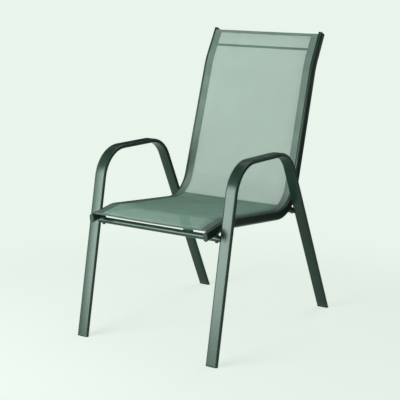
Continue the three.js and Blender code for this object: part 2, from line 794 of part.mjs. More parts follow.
for (const end of ["front", "back"]) addPiece(chair, `${end}_crossbar`, barGeometry(end), steelFinish);
addPiece(chair, "top_spreader_rod", spreaderGeometry(), steelFinish);
addPiece(chair, "sling_fabric", slingGeometry(), slingFinish);

for (const side of Object.keys(sides)) {
  const { pivot, frame } = railGroups[side];
  chair.add(pivot);
  addPiece(chair, `${side}_side_frame`, frameGeometry(side), steelFinish);
  addPiece(chair, `${side}_spreader_screw`, spreaderScrew(side), screwFinish);
  addPiece(frame, `${side}_sling_rail`, railGeometry(side), steelFinish);
  addPiece(frame, `${side}_hem_cord`, cordGeometry(side), cordFinish);
  addPiece(frame, `${side}_rail_front_cap`, capGeometry(railFrontEnd, -1), plasticFinish);
  addPiece(frame, `${side}_rail_top_cap`, capGeometry(railTopEnd, 1), plasticFinish);
  for (const end of ["front", "back"]) {
    addPiece(chair, `${side}_${end}_foot_glide`, glideGeometry(side, end), plasticFinish);
    addPiece(chair, `${side}_${end}_bar_spigot`, spigotGeometry(end, side), zincFinish);
    addPiece(frame, `${side}_${end}_rail_saddle`, saddleGeometry(end, side), plasticFinish);
    addPiece(frame, `${side}_${end}_rail_bolt`, boltGeometry(barStations[end]), screwFinish);
    addPiece(frame, `${side}_${end}_threaded_slug`, slugGeometry(barStations[end]), zincFinish);
  }
}

// The origin is at the middle of the overall depth
const extent = new THREE.Box3().setFromObject(chair);
chair.position.y = -(extent.min.y + extent.max.y) / 2;

export default chair;
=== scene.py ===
"""Sling patio chair: powder-coated tube frames, slotted rails and an open mesh stretched between them.

Metres, +Z up; the chair faces -Y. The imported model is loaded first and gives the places. Sections and
bends are repeated as properties. A point of the YZ plane is written as one complex number, y + z * 1j.
"""

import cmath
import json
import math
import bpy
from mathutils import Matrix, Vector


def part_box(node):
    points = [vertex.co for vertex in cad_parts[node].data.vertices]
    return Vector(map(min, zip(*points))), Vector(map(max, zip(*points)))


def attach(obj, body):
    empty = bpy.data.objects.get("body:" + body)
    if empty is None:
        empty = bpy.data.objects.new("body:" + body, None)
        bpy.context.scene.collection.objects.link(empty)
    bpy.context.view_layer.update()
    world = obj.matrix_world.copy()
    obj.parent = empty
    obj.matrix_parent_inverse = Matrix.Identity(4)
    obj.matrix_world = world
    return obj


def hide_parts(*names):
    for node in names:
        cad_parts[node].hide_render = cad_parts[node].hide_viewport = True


bl_info = {
    "name": "Sling Patio Chair",
    "version": (1, 0, 0),
    "blender": (4, 5, 0),
    "location": "3D View > Sidebar > Patio Chair",
    "description": "Builds the tubes, mesh and studio of a sling patio chair around its packed model",
    "category": "Object",
}

import bmesh
import bpy
import numpy as np
from bpy.props import FloatProperty, FloatVectorProperty, PointerProperty
from mathutils import Matrix, Vector

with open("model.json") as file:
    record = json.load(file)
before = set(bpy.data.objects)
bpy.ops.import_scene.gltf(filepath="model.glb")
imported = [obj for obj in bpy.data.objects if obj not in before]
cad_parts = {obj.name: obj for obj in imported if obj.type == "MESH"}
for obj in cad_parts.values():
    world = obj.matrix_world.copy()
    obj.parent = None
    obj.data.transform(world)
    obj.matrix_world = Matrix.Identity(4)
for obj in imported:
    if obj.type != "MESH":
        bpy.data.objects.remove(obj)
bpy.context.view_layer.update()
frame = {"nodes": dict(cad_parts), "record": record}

mm = 0.001
SIDES = {"left": -1, "right": 1}
ENDS = ("front", "back")
BODY = "root"
PLACE_UV = "sheet_place"
BAKE_UV = "OFBake"
SHARP_DEGREES = 35.0
# Clearance between two pieces that meet
FIT_GAP = 0.3 * mm


def length(name, default, description):
    """A property that holds a length in metres."""
    return FloatProperty(name=name, description=description, default=default, min=0.0, unit="LENGTH")


def tone(name, default, description):
    """A property that holds a colour, given as the screen shows it and kept linear."""
    linear = [((c + 0.055) / 1.055) ** 2.4 if c > 0.04045 else c / 12.92 for c in default]
    return FloatVectorProperty(
        name=name, description=description, subtype="COLOR", size=3, min=0.0, max=1.0, default=linear
    )


def share(name, default, description):
    """A property that holds a number from 0 to 1."""
    return FloatProperty(
        name=name, description=description, default=default, min=0.0, max=1.0, subtype="FACTOR"
    )


def degrees(name, default, description):
    """A property that holds an angle, given in degrees."""
    return FloatProperty(name=name, description=description, default=math.radians(default), subtype="ANGLE")


class ChairFrameSizes(bpy.types.PropertyGroup):
    """Sizes of the two bent side frames and the crossbars between them"""

    tube_width: length("Tube width", 41 * mm, "Width of the flat-oval tube, across the chair")
    tube_thickness: length("Tube thickness", 13 * mm, "Thickness of the flat-oval tube")
    tube_wall: length("Tube wall", 1.5 * mm, "Wall of every steel tube")
    arm_height_front: length("Arm height, front", 590 * mm, "Centre line at the front corner, unrounded")
    arm_height_back: length("Arm height, back", 585 * mm, "Centre line at the back corner, unrounded")
    front_bend_radius: length("Front bend", 105 * mm, "Radius of the bend over the front leg")
    back_bend_radius: length("Back bend", 103 * mm, "Radius of the bend over the back leg")
    bar_diameter: length("Crossbar diameter", 19 * mm, "Outer diameter of the round crossbars")
    bar_cope: length("Crossbar cope", 5 * mm, "How far a crossbar's end reaches round the leg")
    foot_height: length("Foot height", 3 * mm, "Height at which the legs end above the floor")
    foot_lip: length("Foot lip", 0.4 * mm, "How far the plastic foot stands out past the tube")
    foot_plug: length("Foot plug", 16 * mm, "Depth of the foot's plug inside the tube")


class ChairRailSizes(bpy.types.PropertyGroup):
    """Sizes of the two slotted rails, their caps and the spreader rod"""

    width: length("Rail width", 15 * mm, "Across the chair")
    depth: length("Rail depth", 28 * mm, "From the sitter's side to the under side")
    slot: length("Slot", 3 * mm, "Slot along the sitter's side")
    slot_inset: length("Slot inset", 4 * mm, "Rail's middle plane to the slot, towards the other rail")
    leg_clearance: length("Leg clearance", 5.4 * mm, "From the rail's outer face to the leg")
    lean: degrees("Lean", 0.75, "How much each rail leans towards the other above the seat")
    bar_setback: length("Crossbar setback", 57 * mm, "Front end of the rail to the front crossbar")
    saddle_thickness: length("Saddle", 2.5 * mm, "Space between crossbar and rail")
    waterfall_run: length("Waterfall run", 105.5 * mm, "Front end to the crest, level")
    waterfall_rise: length("Waterfall rise", 16.4 * mm, "Front end to the crest, upright")
    seat_run: length("Seat run", 401 * mm, "Crest to the heel, level")
    seat_drop: length("Seat drop", 41.4 * mm, "Crest to the heel, upright")
    back_run: length("Back run", 144 * mm, "Heel to the bend near the top, level")
    back_rise: length("Back rise", 473 * mm, "Heel to the bend near the top, upright")
    head_run: length("Head run", 56 * mm, "Last stretch, level")
    head_rise: length("Head rise", 101.4 * mm, "Last stretch, upright")
    crest_radius: length("Crest bend", 100 * mm, "Radius of the bend at the front of the seat")
    heel_radius: length("Heel bend", 112 * mm, "Radius of the bend between seat and back")
    head_radius: length("Head bend", 204 * mm, "Radius of the bend near the top")
    cap_thickness: length("Cap thickness", 3 * mm, "Plastic cover over a rail's end")
    cap_lip: length("Cap lip", 0.3 * mm, "How far the cap stands out past the rail")
    cap_plug: length("Cap plug", 12 * mm, "Depth of the cap's plug inside the rail")
    screw_head: length("Screw head", 8 * mm, "Countersunk screw in each rail, at the spreader rod")
    bolt_head: length("Bolt head", 10.5 * mm, "Bolt under each crossbar")


class ChairSlingSizes(bpy.types.PropertyGroup):
    """Sizes of the mesh sheet, its yarns and its hems"""

    sheet_thickness: length("Sheet thickness", 1 * mm, "Single layer of mesh")
    hem_thickness: length("Hem thickness", 1.1 * mm, "Doubled mesh along a rail")
    hem_gap: length("Hem gap", 0.1 * mm, "Air between a rail and the hem above it")
    hem_width: length("Hem width", 28.4 * mm, "Doubled mesh, from the rail's middle plane inwards")
    end_hem_width: length("End hem width", 10 * mm, "Folded edge at the front and at the top")
    hem_allowance: length("Hem allowance", 61 * mm, "Cloth in one side's tongue, loop and return")
    front_inset: length("Front inset", 8 * mm, "Rail's front end to the sheet's front edge")
    top_inset: length("Top inset", 6 * mm, "Rail's top end to the sheet's top edge")
    front_sag: length("Front sag", 3 * mm, "Sag at the front edge")
    seat_sag: length("Seat sag", 7 * mm, "Sag at the seat")
    heel_sag: length("Heel sag", 1.5 * mm, "Sag where seat and back meet")
    back_sag: length("Back sag", 5 * mm, "Sag at the back")
    top_sag: length("Top sag", 1 * mm, "Sag at the top edge")
    yarn_pitch: length("Yarn pitch", 2.2 * mm, "Distance between two yarns, both ways")
    yarn_width: length("Yarn width", 0.9 * mm, "Width of one coated yarn")
    yarn_height: length("Yarn height", 0.92 * mm, "Height of one coated yarn")
    stitch_pitch: length("Stitch pitch", 4.2 * mm, "Distance between two stitches")
    stitch_length: length("Stitch length", 3.3 * mm, "Visible thread of one stitch")
    thread_diameter: length("Thread diameter", 0.7 * mm, "Sewing thread")


class ChairFinishes(bpy.types.PropertyGroup):
    """Colours of the chair's surfaces"""

    powder: tone("Powder coat", (0.078, 0.145, 0.115), "Dark grey-green coat of all tubes")
    coat_gloss: tone("Coat gloss", (0.9, 1.0, 0.955), "Tint of the coat's gloss")
    dust: tone("Dust", (0.42, 0.46, 0.43), "Fine dust that settles on upward faces")
    worn_edge: tone("Worn edge", (0.30, 0.35, 0.32), "Coat where it is rubbed at the edges")
    plastic: tone("Plastic", (0.12, 0.17, 0.145), "Caps, feet and saddles")
    yarn: tone("Yarn", (0.39, 0.503, 0.45), "Coated yarn of the mesh")
    # Partly painted shade: the hem's colour is darker than the yarn's to stand for the shaded gaps of the
    # doubled mesh
    hem: tone("Hem", (0.338, 0.408, 0.372), "Doubled mesh of the hems")
    thread: tone("Thread", (0.33, 0.40, 0.365), "Sewing thread")
    screw: tone("Screw", (0.14, 0.17, 0.155), "Black screws")
    zinc: tone("Zinc", (0.62, 0.64, 0.625), "Zinc-plated inner parts")
    cord: tone("Cord", (0.60, 0.635, 0.61), "Cord inside the rails")


class ChairStudio(bpy.types.PropertyGroup):
    """Camera, lamps and floor"""

    azimuth: degrees("Azimuth", 33.65, "Camera's way round the chair, from straight in front towards +X")
    elevation: degrees("Elevation", 12.27, "Camera's angle above level")
    roll: degrees("Roll", 0.24, "Turn of the camera about its line of sight")
    distance: length("Distance", 3.61146, "Camera to the point that it looks at")
    lens: FloatProperty(name="Lens", description="Focal length in millimetres", default=100.74)
    target: FloatVectorProperty(
        name="Target", description="Point that the camera looks at", subtype="TRANSLATION",
        default=(0.0, -0.06084, 0.42157),
    )
    floor_radius: length("Floor radius", 12.0, "Pale round floor")
    fade_start: length("Fade start", 0.6, "Radius at which the floor starts to turn into the backdrop")
    fade_end: length("Fade end", 1.4, "Radius from which the floor looks like the backdrop")
    backdrop: tone("Backdrop", (0.916, 0.958, 0.922), "Colour behind the chair")
    floor: tone("Floor", (0.898, 0.939, 0.904), "Colour of the floor")
    floor_glow: share("Floor glow", 0.84, "Part of the near floor's colour that shadows don't reach")
    ambient: FloatProperty(name="Ambient", description="Light from all round", default=0.30)


class ChairSettings(bpy.types.PropertyGroup):
    """All sizes and colours of the chair"""

    frame: PointerProperty(type=ChairFrameSizes)
    rail: PointerProperty(type=ChairRailSizes)
    sling: PointerProperty(type=ChairSlingSizes)
    finish: PointerProperty(type=ChairFinishes)
    studio: PointerProperty(type=ChairStudio)


# Lines and sections


class BentLine:
    """Straight runs joined by arcs in the YZ plane; a point is found by its distance along the line."""

    def __init__(self, corners, radii):
        self.parts = []
        self.length = 0.0
        headings = [(b - a) / abs(b - a) for a, b in zip(corners, corners[1:])]
        place = corners[0]
        for corner, radius, before, after in zip(corners[1:], radii, headings, headings[1:]):
            turn = cmath.phase(after / before)
            tangent = radius * math.tan(abs(turn) / 2)
            self.add(place, before, abs(corner - place) - tangent, 0.0)
            bend = math.copysign(1 / radius, turn)
            self.add(corner - before * tangent, before, radius * abs(turn), bend)
            place = corner + after * tangent
        self.add(place, headings[-1], abs(corners[-1] - place), 0.0)

    def add(self, place, heading, extent, curvature):
        self.parts.append((self.length, extent, place, heading, curvature))
        self.length += extent

    def at(self, distance):
        """Place and heading at a distance; before the start and past the end the line runs straight on."""
        reached = [part for part in self.parts if part[0] <= distance]
        start, _, place, heading, curvature = reached[-1] if reached else self.parts[0]
        run = distance - start
        if not curvature:
            return place + heading * run, heading
        turned = cmath.exp(1j * curvature * run)
        return place + heading * (turned - 1) / (1j * curvature), heading * turned

    def distances(self, first, last, run_step, bend_step):
        """Distances for the rings of a sweep, close together in the bends."""
        marks = [first]
        for start, extent, _, _, curvature in self.parts:
            low, high = max(start, first), min(start + extent, last)
            if high <= low:
                continue
            count = math.ceil((high - low) / (bend_step if curvature else run_step))
            marks += [low + (high - low) * step / count for step in range(1, count + 1)]
        return marks


def settings():
    """The chair's sizes and colours in the open scene."""
    return bpy.context.scene.patio_chair


def centre_of(node):
    """The middle of a node's box in the YZ plane."""
    low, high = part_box(node)
    return complex((low.y + high.y) / 2, (low.z + high.z) / 2)


def foot_spots():
    """The middles of the front and back soles, from the record's mounts."""
    mounts = {mount["name"]: mount["pos_m"] for mount in frame["record"]["mounts"]}
    return {end: complex(mounts[f"right_{end}_foot"][1], 0.0) for end in ENDS}


def frame_offset():
    """From the middle plane to the centre plane of a side frame."""
    low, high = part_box("right_side_frame")
    return (low.x + high.x) / 2


def frame_matrix(side):
    """Moves a point from the middle plane to a side frame's centre plane."""
    return Matrix.Translation((SIDES[side] * frame_offset(), 0.0, 0.0))


def frame_line():
    """A side frame's centre line, from the front sole over the arm to the back sole."""
    sizes = settings().frame
    feet = foot_spots()
    heights = {"front": sizes.arm_height_front, "back": sizes.arm_height_back}
    tops = {}
    for end in ENDS:
        climb = centre_of(f"{end}_crossbar") - feet[end]
        tops[end] = feet[end] + climb * heights[end] / climb.imag
    corners = [feet["front"], tops["front"], tops["back"], feet["back"]]
    return BentLine(corners, [sizes.front_bend_radius, sizes.back_bend_radius])


def rail_front_end():
    """The front end of a rail's centre line, worked out from the crossbar that carries it."""
    rail = settings().rail
    heading = complex(rail.waterfall_run, rail.waterfall_rise)
    heading /= abs(heading)
    rise = rail.depth / 2 + rail.saddle_thickness + settings().frame.bar_diameter / 2
    return centre_of("front_crossbar") + heading * 1j * rise - heading * rail.bar_setback


def rail_line():
    """A rail's centre line, from its front end over the seat and up the back."""
    rail = settings().rail
    corners = [rail_front_end()]
    for run, rise in (
        (rail.waterfall_run, rail.waterfall_rise),
        (rail.seat_run, -rail.seat_drop),
        (rail.back_run, rail.back_rise),
        (rail.head_run, rail.head_rise),
    ):
        corners.append(corners[-1] + complex(run, rise))
    return BentLine(corners, [rail.crest_radius, rail.heel_radius, rail.head_radius])


def rail_matrix(side):
    """Moves a point from a rail's own centre plane to its place, with the lean."""
    rail = settings().rail
    low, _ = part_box("right_side_frame")
    offset = low.x - rail.leg_clearance - rail.width / 2
    pivot = rail_front_end().imag
    place = Matrix.Translation((SIDES[side] * offset, 0.0, pivot))
    lean = Matrix.Rotation(-SIDES[side] * rail.lean, 4, "Y")
    return place @ lean @ Matrix.Translation((0.0, 0.0, -pivot))


def all_round(count):
    """Angles of that many points, spread evenly round a circle."""
    return np.linspace(0, 2 * math.pi, count, endpoint=False)


def arc(radius, centre, start, stop, steps):
    """Points (x, height) on an arc, with its angles in radians."""
    angles = np.linspace(start, stop, steps + 1)
    return np.column_stack([centre[0] + radius * np.cos(angles), centre[1] + radius * np.sin(angles)])


def oval(width, height, growth=0.0, steps=12):
    """A flat oval, with half circles on its narrow sides."""
    radius = min(width, height) / 2 + growth
    reach = abs(width - height) / 2
    if width > height:
        right = arc(radius, (reach, 0.0), -math.pi / 2, math.pi / 2, steps)
        left = arc(radius, (-reach, 0.0), math.pi / 2, math.pi * 3 / 2, steps)
        return np.vstack([right, left])
    upper = arc(radius, (0.0, reach), 0.0, math.pi, steps)
    lower = arc(radius, (0.0, -reach), math.pi, math.pi * 2, steps)
    return np.vstack([upper, lower])


def ring_at(line, distance, section, matrix):
    """The section set square to a line: its x lies across the chair and its y towards the line's left."""
    place, heading = line.at(distance)
    spots = place + heading * 1j * section[:, 1]
    points = np.column_stack([section[:, 0], spots.real, spots.imag])
    turn = np.array(matrix.to_3x3())
    return points @ turn.T + np.array(matrix.translation)


# Meshes


def joined_rings(rings):
    """Points and faces of a closed skin through rings that have the same number of points."""
    count = len(rings[0])
    points = np.concatenate(rings)
    starts = np.arange(len(rings) - 1)[:, None] * count
    around = np.arange(count)
    after = (around + 1) % count
    faces = np.stack([starts + around, starts + after, starts + count + after, starts + count + around], -1)
    faces = faces.reshape(-1, 4).tolist()
    faces.append(list(range(count))[::-1])
    faces.append(list(range(len(points) - count, len(points))))
    return points, faces


def several(skins):
    """Points and faces of several skins in one mesh."""
    points, faces, offset = [], [], 0
    for skin_points, skin_faces in skins:
        points.append(skin_points)
        faces += [[index + offset for index in face] for face in skin_faces]
        offset += len(skin_points)
    return np.concatenate(points), faces


def turned(profile, axis_matrix, sides):
    """A skin of revolution through (radius, height) pairs, with a flat face at both ends."""
    angles = all_round(sides)
    rings = []
    for radius, height in profile:
        ring = [axis_matrix @ Vector((radius * math.cos(a), radius * math.sin(a), height)) for a in angles]
        rings.append(np.array(ring))
    return joined_rings(rings)


def add_mesh(name, skin, material, sharp_degrees=SHARP_DEGREES):
    """An object from a skin of points and faces, shaded smooth except over its sharp edges."""
    points, faces = skin
    mesh = bpy.data.meshes.new(name)
    mesh.from_pydata(points.tolist(), [], faces)
    shell = bmesh.new()
    shell.from_mesh(mesh)
    bmesh.ops.recalc_face_normals(shell, faces=shell.faces)
    shell.to_mesh(mesh)
    shell.free()
    mesh.shade_smooth()
    mesh.set_sharp_from_angle(angle=math.radians(sharp_degrees))
    mesh.materials.append(material)
    piece = bpy.data.objects.new(name, mesh)
    bpy.context.scene.collection.objects.link(piece)
    return piece


def add_piece(name, skin, slot, stands_for=(), finish=None, sharp_degrees=SHARP_DEGREES):
    """A piece of the chair that rides with the frame, in its slot's finish unless another is named."""
    piece = add_mesh(name, skin, finish_for(finish or slot), sharp_degrees)
    if stands_for:
        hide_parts(*stands_for)
    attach(piece, BODY)
    return piece


# Shader groups and materials


# Places of the colour sockets among the inputs and outputs of a Mix node
MIX_FACTOR, MIX_FIRST, MIX_SECOND, MIX_RESULT = 0, 6, 7, 2


def add_node(tree, kind, sockets=None, **values):
    """A shader node; each socket gets a value or is linked to the socket that it is given."""
    node = tree.nodes.new(kind)
    for key, value in values.items():
        setattr(node, key, value)
    for key, value in (sockets or {}).items():
        if isinstance(value, bpy.types.NodeSocket):
            tree.links.new(value, node.inputs[key])
        else:
            node.inputs[key].default_value = value
    return node


def new_group(name, inputs, outputs):
    """A shader node group with named sockets; gives the tree, its inputs and its output node."""
    tree = bpy.data.node_groups.new(name, "ShaderNodeTree")
    for socket, (kind, default) in inputs.items():
        made = tree.interface.new_socket(socket, in_out="INPUT", socket_type=kind)
        if default is not None:
            made.default_value = default
    for socket, kind in outputs.items():
        tree.interface.new_socket(socket, in_out="OUTPUT", socket_type=kind)
    return tree, tree.nodes.new("NodeGroupInput"), tree.nodes.new("NodeGroupOutput")


def math_node(tree, operation, first, second=0.0, third=0.0):
    """The result of an operation on up to three values."""
    node = add_node(tree, "ShaderNodeMath", {0: first, 1: second, 2: third}, operation=operation)
    return node.outputs[0]


def blended(tree, factor, first, second):
    """A colour between two others, nearer the second as the factor grows."""
    sockets = {MIX_FACTOR: factor, MIX_FIRST: first, MIX_SECOND: second}
    return add_node(tree, "ShaderNodeMix", sockets, data_type="RGBA").outputs[MIX_RESULT]


def ramped(tree, value, low, high):
    """A smooth step from 0 to 1, as the value goes from low to high."""
    node = add_node(
        tree, "ShaderNodeMapRange", {"Value": value, "From Min": low, "From Max": high},
        interpolation_type="SMOOTHSTEP",
    )
    return node.outputs["Result"]


def group_named(name, build):
    """The shader group of that name, built the first time that it is asked for."""
    return bpy.data.node_groups.get(name) or build(name)


def build_grain(name):
    """Fine relief of a sprayed or moulded surface, and slow drifts in its tone."""
    inputs = {
        "Grain Size": ("NodeSocketFloat", 0.0015),
        "Drift Size": ("NodeSocketFloat", 0.12),
    }
    tree, given, result = new_group(name, inputs, {"Height": "NodeSocketFloat", "Drift": "NodeSocketFloat"})
    place = add_node(tree, "ShaderNodeTexCoord").outputs["Object"]
    grain_scale = math_node(tree, "DIVIDE", 1.0, given.outputs["Grain Size"])
    drift_scale = math_node(tree, "DIVIDE", 1.0, given.outputs["Drift Size"])
    grain = add_node(tree, "ShaderNodeTexNoise", {"Vector": place, "Scale": grain_scale, "Detail": 2.0})
    drift = add_node(tree, "ShaderNodeTexNoise", {"Vector": place, "Scale": drift_scale, "Detail": 3.0})
    tree.links.new(grain.outputs["Fac"], result.inputs["Height"])
    tree.links.new(drift.outputs["Fac"], result.inputs["Drift"])
    return tree


def build_dust(name):
    """Where fine dust lies: on faces that look up, in soft patches."""
    inputs = {"Amount": ("NodeSocketFloat", 0.3), "Patch Size": ("NodeSocketFloat", 0.03)}
    tree, given, result = new_group(name, inputs, {"Mask": "NodeSocketFloat"})
    source = add_node(tree, "ShaderNodeTexCoord")
    facing = add_node(tree, "ShaderNodeSeparateXYZ", {0: source.outputs["Normal"]}).outputs["Z"]
    upward = ramped(tree, facing, low=0.35, high=1.0)
    scale = math_node(tree, "DIVIDE", 1.0, given.outputs["Patch Size"])
    patches = add_node(
        tree, "ShaderNodeTexNoise", {"Vector": source.outputs["Object"], "Scale": scale, "Detail": 6.0}
    )
    soft = ramped(tree, patches.outputs["Fac"], low=0.35, high=0.75)
    lying = math_node(tree, "MULTIPLY", upward, soft)
    tree.links.new(math_node(tree, "MULTIPLY", lying, given.outputs["Amount"]), result.inputs["Mask"])
    return tree


def build_edge_rub(name):
    """Where hands and stacking rub a surface: along its outward edges, in broken spots."""
    inputs = {"Amount": ("NodeSocketFloat", 0.3), "Spot Size": ("NodeSocketFloat", 0.008)}
    tree, given, result = new_group(name, inputs, {"Mask": "NodeSocketFloat"})
    place = add_node(tree, "ShaderNodeTexCoord").outputs["Object"]
    sharpness = add_node(tree, "ShaderNodeNewGeometry").outputs["Pointiness"]
    edge = ramped(tree, sharpness, low=0.52, high=0.62)
    scale = math_node(tree, "DIVIDE", 1.0, given.outputs["Spot Size"])
    spots = add_node(tree, "ShaderNodeTexNoise", {"Vector": place, "Scale": scale, "Detail": 4.0})
    broken = ramped(tree, spots.outputs["Fac"], low=0.45, high=0.65)
    rubbed = math_node(tree, "MULTIPLY", edge, broken)
    tree.links.new(math_node(tree, "MULTIPLY", rubbed, given.outputs["Amount"]), result.inputs["Mask"])
    return tree


def build_weave(name):
    """Basket weave of doubled mesh, from a place on the sheet in metres: thread relief, and a mask of the
    open cells where the hem's shade is painted.
    """
    inputs = {"Place": ("NodeSocketVector", None), "Pitch": ("NodeSocketFloat", 0.0022)}
    outputs = {"Height": "NodeSocketFloat", "Cell": "NodeSocketFloat"}
    tree, given, result = new_group(name, inputs, outputs)
    axes = add_node(tree, "ShaderNodeSeparateXYZ", {0: given.outputs["Place"]})
    waves = []
    for axis in ("X", "Y"):
        turns = math_node(tree, "DIVIDE", axes.outputs[axis], given.outputs["Pitch"])
        angle = math_node(tree, "MULTIPLY", turns, 2 * math.pi)
        waves.append(math_node(tree, "MULTIPLY_ADD", math_node(tree, "COSINE", angle), 0.5, 0.5))
    crossed = math_node(tree, "MAXIMUM", waves[0], waves[1])
    open_cell = math_node(tree, "SUBTRACT", 1.0, ramped(tree, crossed, low=0.1, high=0.45))
    tree.links.new(crossed, result.inputs["Height"])
    tree.links.new(open_cell, result.inputs["Cell"])
    return tree


def new_material(name):
    """A material with a plain surface shader; gives the tree and that shader."""
    material = bpy.data.materials.new(name)
    material.use_nodes = True
    tree = material.node_tree
    return material, tree, tree.nodes["Principled BSDF"]


def use_group(tree, name, build, **sockets):
    """A shader group placed in a tree, with values for its sockets."""
    node = add_node(tree, "ShaderNodeGroup")
    node.node_tree = group_named(name, build)
    for key, value in sockets.items():
        node.inputs[key.replace("_", " ")].default_value = value
    return node


def rgba(colour):
    """A colour with an alpha of 1."""
    return (*colour, 1.0)


def toned(tree, colour, drift, drift_share):
    """A colour that drifts a little: darker and lighter by the same share."""
    dark = rgba([channel * (1 - drift_share) for channel in colour])
    light = rgba([channel * (1 + drift_share) for channel in colour])
    return blended(tree, ramped(tree, drift, low=0.3, high=0.7), dark, light)


def bumped(tree, shader, height, distance, strength):
    """Gives a surface its fine relief; the distance is the relief's full height."""
    bump = add_node(tree, "ShaderNodeBump", {"Height": height, "Distance": distance, "Strength": strength})
    tree.links.new(bump.outputs["Normal"], shader.inputs["Normal"])


def roughened(tree, shader, value, low, high):
    """Gives a surface a roughness between two values."""
    span = add_node(tree, "ShaderNodeMapRange", {"Value": value, "To Min": low, "To Max": high})
    tree.links.new(span.outputs["Result"], shader.inputs["Roughness"])


def powder_coat():
    """Satin powder coat: orange peel, faint drift of tone, a little dust and rubbed edges."""
    finish = settings().finish
    material, tree, shader = new_material("powder_coat")
    grain = use_group(tree, "surface_grain", build_grain, Grain_Size=1.6 * mm, Drift_Size=0.14)
    dust = use_group(tree, "settled_dust", build_dust, Amount=0.10, Patch_Size=0.05)
    rub = use_group(tree, "edge_rub", build_edge_rub, Amount=0.25, Spot_Size=9 * mm)
    coat = toned(tree, finish.powder, grain.outputs["Drift"], drift_share=0.12)
    rubbed = blended(tree, rub.outputs["Mask"], coat, rgba(finish.worn_edge))
    dusty = blended(tree, dust.outputs["Mask"], rubbed, rgba(finish.dust))
    tree.links.new(dusty, shader.inputs["Base Color"])
    roughened(tree, shader, grain.outputs["Drift"], low=0.26, high=0.32)
    shader.inputs["Specular IOR Level"].default_value = 0.28
    shader.inputs["Specular Tint"].default_value = rgba(finish.coat_gloss)
    bumped(tree, shader, grain.outputs["Height"], distance=0.05 * mm, strength=0.6)
    return material


def moulded_plastic():
    """Matte moulded plastic with a fine spark-eroded grain."""
    finish = settings().finish
    material, tree, shader = new_material("moulded_plastic")
    grain = use_group(tree, "surface_grain", build_grain, Grain_Size=0.5 * mm, Drift_Size=0.02)
    dust = use_group(tree, "settled_dust", build_dust, Amount=0.15, Patch_Size=0.02)
    plastic = toned(tree, finish.plastic, grain.outputs["Drift"], drift_share=0.10)
    dusty = blended(tree, dust.outputs["Mask"], plastic, rgba(finish.dust))
    tree.links.new(dusty, shader.inputs["Base Color"])
    roughened(tree, shader, grain.outputs["Drift"], low=0.52, high=0.64)
    shader.inputs["Specular IOR Level"].default_value = 0.22
    bumped(tree, shader, grain.outputs["Height"], distance=0.04 * mm, strength=0.5)
    return material


def plated_steel(name, colour, metallic, low, high):
    """Plated or blackened screw steel, with fine tool marks."""
    material, tree, shader = new_material(name)
    grain = use_group(tree, "surface_grain", build_grain, Grain_Size=0.4 * mm, Drift_Size=0.006)
    steel = toned(tree, colour, grain.outputs["Drift"], drift_share=0.15)
    tree.links.new(steel, shader.inputs["Base Color"])
    roughened(tree, shader, grain.outputs["Drift"], low, high)
    shader.inputs["Metallic"].default_value = metallic
    bumped(tree, shader, grain.outputs["Height"], distance=0.02 * mm, strength=0.5)
    return material


def coated_yarn(name, colour, drift_size):
    """Matte plastic-coated yarn or cord, with small changes of tone along it."""
    material, tree, shader = new_material(name)
    grain = use_group(tree, "surface_grain", build_grain, Grain_Size=0.6 * mm, Drift_Size=drift_size)
    yarn = toned(tree, colour, grain.outputs["Drift"], drift_share=0.07)
    tree.links.new(yarn, shader.inputs["Base Color"])
    roughened(tree, shader, grain.outputs["Drift"], low=0.60, high=0.75)
    shader.inputs["Specular IOR Level"].default_value = 0.2
    bumped(tree, shader, grain.outputs["Height"], distance=0.05 * mm, strength=0.5)
    return material


def hem_cloth():
    """Doubled mesh of two layers: the same yarn, woven relief, and painted shade that darkens the open
    cells between the threads.
    """
    finish = settings().finish
    material, tree, shader = new_material("hem_cloth")
    grain = use_group(tree, "surface_grain", build_grain, Grain_Size=0.6 * mm, Drift_Size=0.04)
    weave = use_group(tree, "doubled_weave", build_weave, Pitch=settings().sling.yarn_pitch / 2)
    place = add_node(tree, "ShaderNodeUVMap", uv_map=PLACE_UV)
    tree.links.new(place.outputs["UV"], weave.inputs["Place"])
    cloth = toned(tree, finish.hem, grain.outputs["Drift"], drift_share=0.07)
    # Painted shade: the open cells between the threads are darkened to this share of the hem's colour
    cell_shade_share = 0.45
    shaded = rgba([channel * cell_shade_share for channel in finish.hem])
    tree.links.new(blended(tree, weave.outputs["Cell"], cloth, shaded), shader.inputs["Base Color"])
    roughened(tree, shader, grain.outputs["Drift"], low=0.65, high=0.8)
    shader.inputs["Specular IOR Level"].default_value = 0.2
    bumped(tree, shader, weave.outputs["Height"], distance=0.25 * mm, strength=0.7)
    return material


def black_steel():
    """Blackened steel of the bolts and screws."""
    return plated_steel("black_screw_steel", settings().finish.screw, metallic=0.5, low=0.35, high=0.5)


def zinc_plate():
    """Zinc plating of the parts inside bars and rails."""
    return plated_steel("zinc_plate", settings().finish.zinc, metallic=0.9, low=0.3, high=0.45)


def mesh_yarn():
    """Yarn of the open mesh."""
    return coated_yarn("coated_yarn", settings().finish.yarn, drift_size=0.05)


def sewing_thread():
    """Thread of the stitches."""
    return coated_yarn("sewing_thread", settings().finish.thread, drift_size=0.01)


def cord_plastic():
    """Cord inside the rails."""
    return coated_yarn("cord_plastic", settings().finish.cord, drift_size=0.05)


MAKERS = {
    "frame_steel": powder_coat,
    "end_plastic": moulded_plastic,
    "black_screw_steel": black_steel,
    "zinc_steel": zinc_plate,
    "sling_mesh": mesh_yarn,
    "hem": hem_cloth,
    "thread": sewing_thread,
    "hem_cord_plastic": cord_plastic,
}
MADE = {}


def finish_for(use):
    """The material for a slot or use, made the first time that it is asked for."""
    if use not in MADE:
        MADE[use] = MAKERS[use]()
    return MADE[use]


# Steel


def slid_ring(line, distance, section, side, height):
    """A leg's section slid along the leg until every point is at one height above the floor."""
    ring = ring_at(line, distance, section, frame_matrix(side))
    _, heading = line.at(distance)
    shift = (height - ring[:, 2]) / heading.imag
    ring[:, 1] += heading.real * shift
    ring[:, 2] = height
    return ring


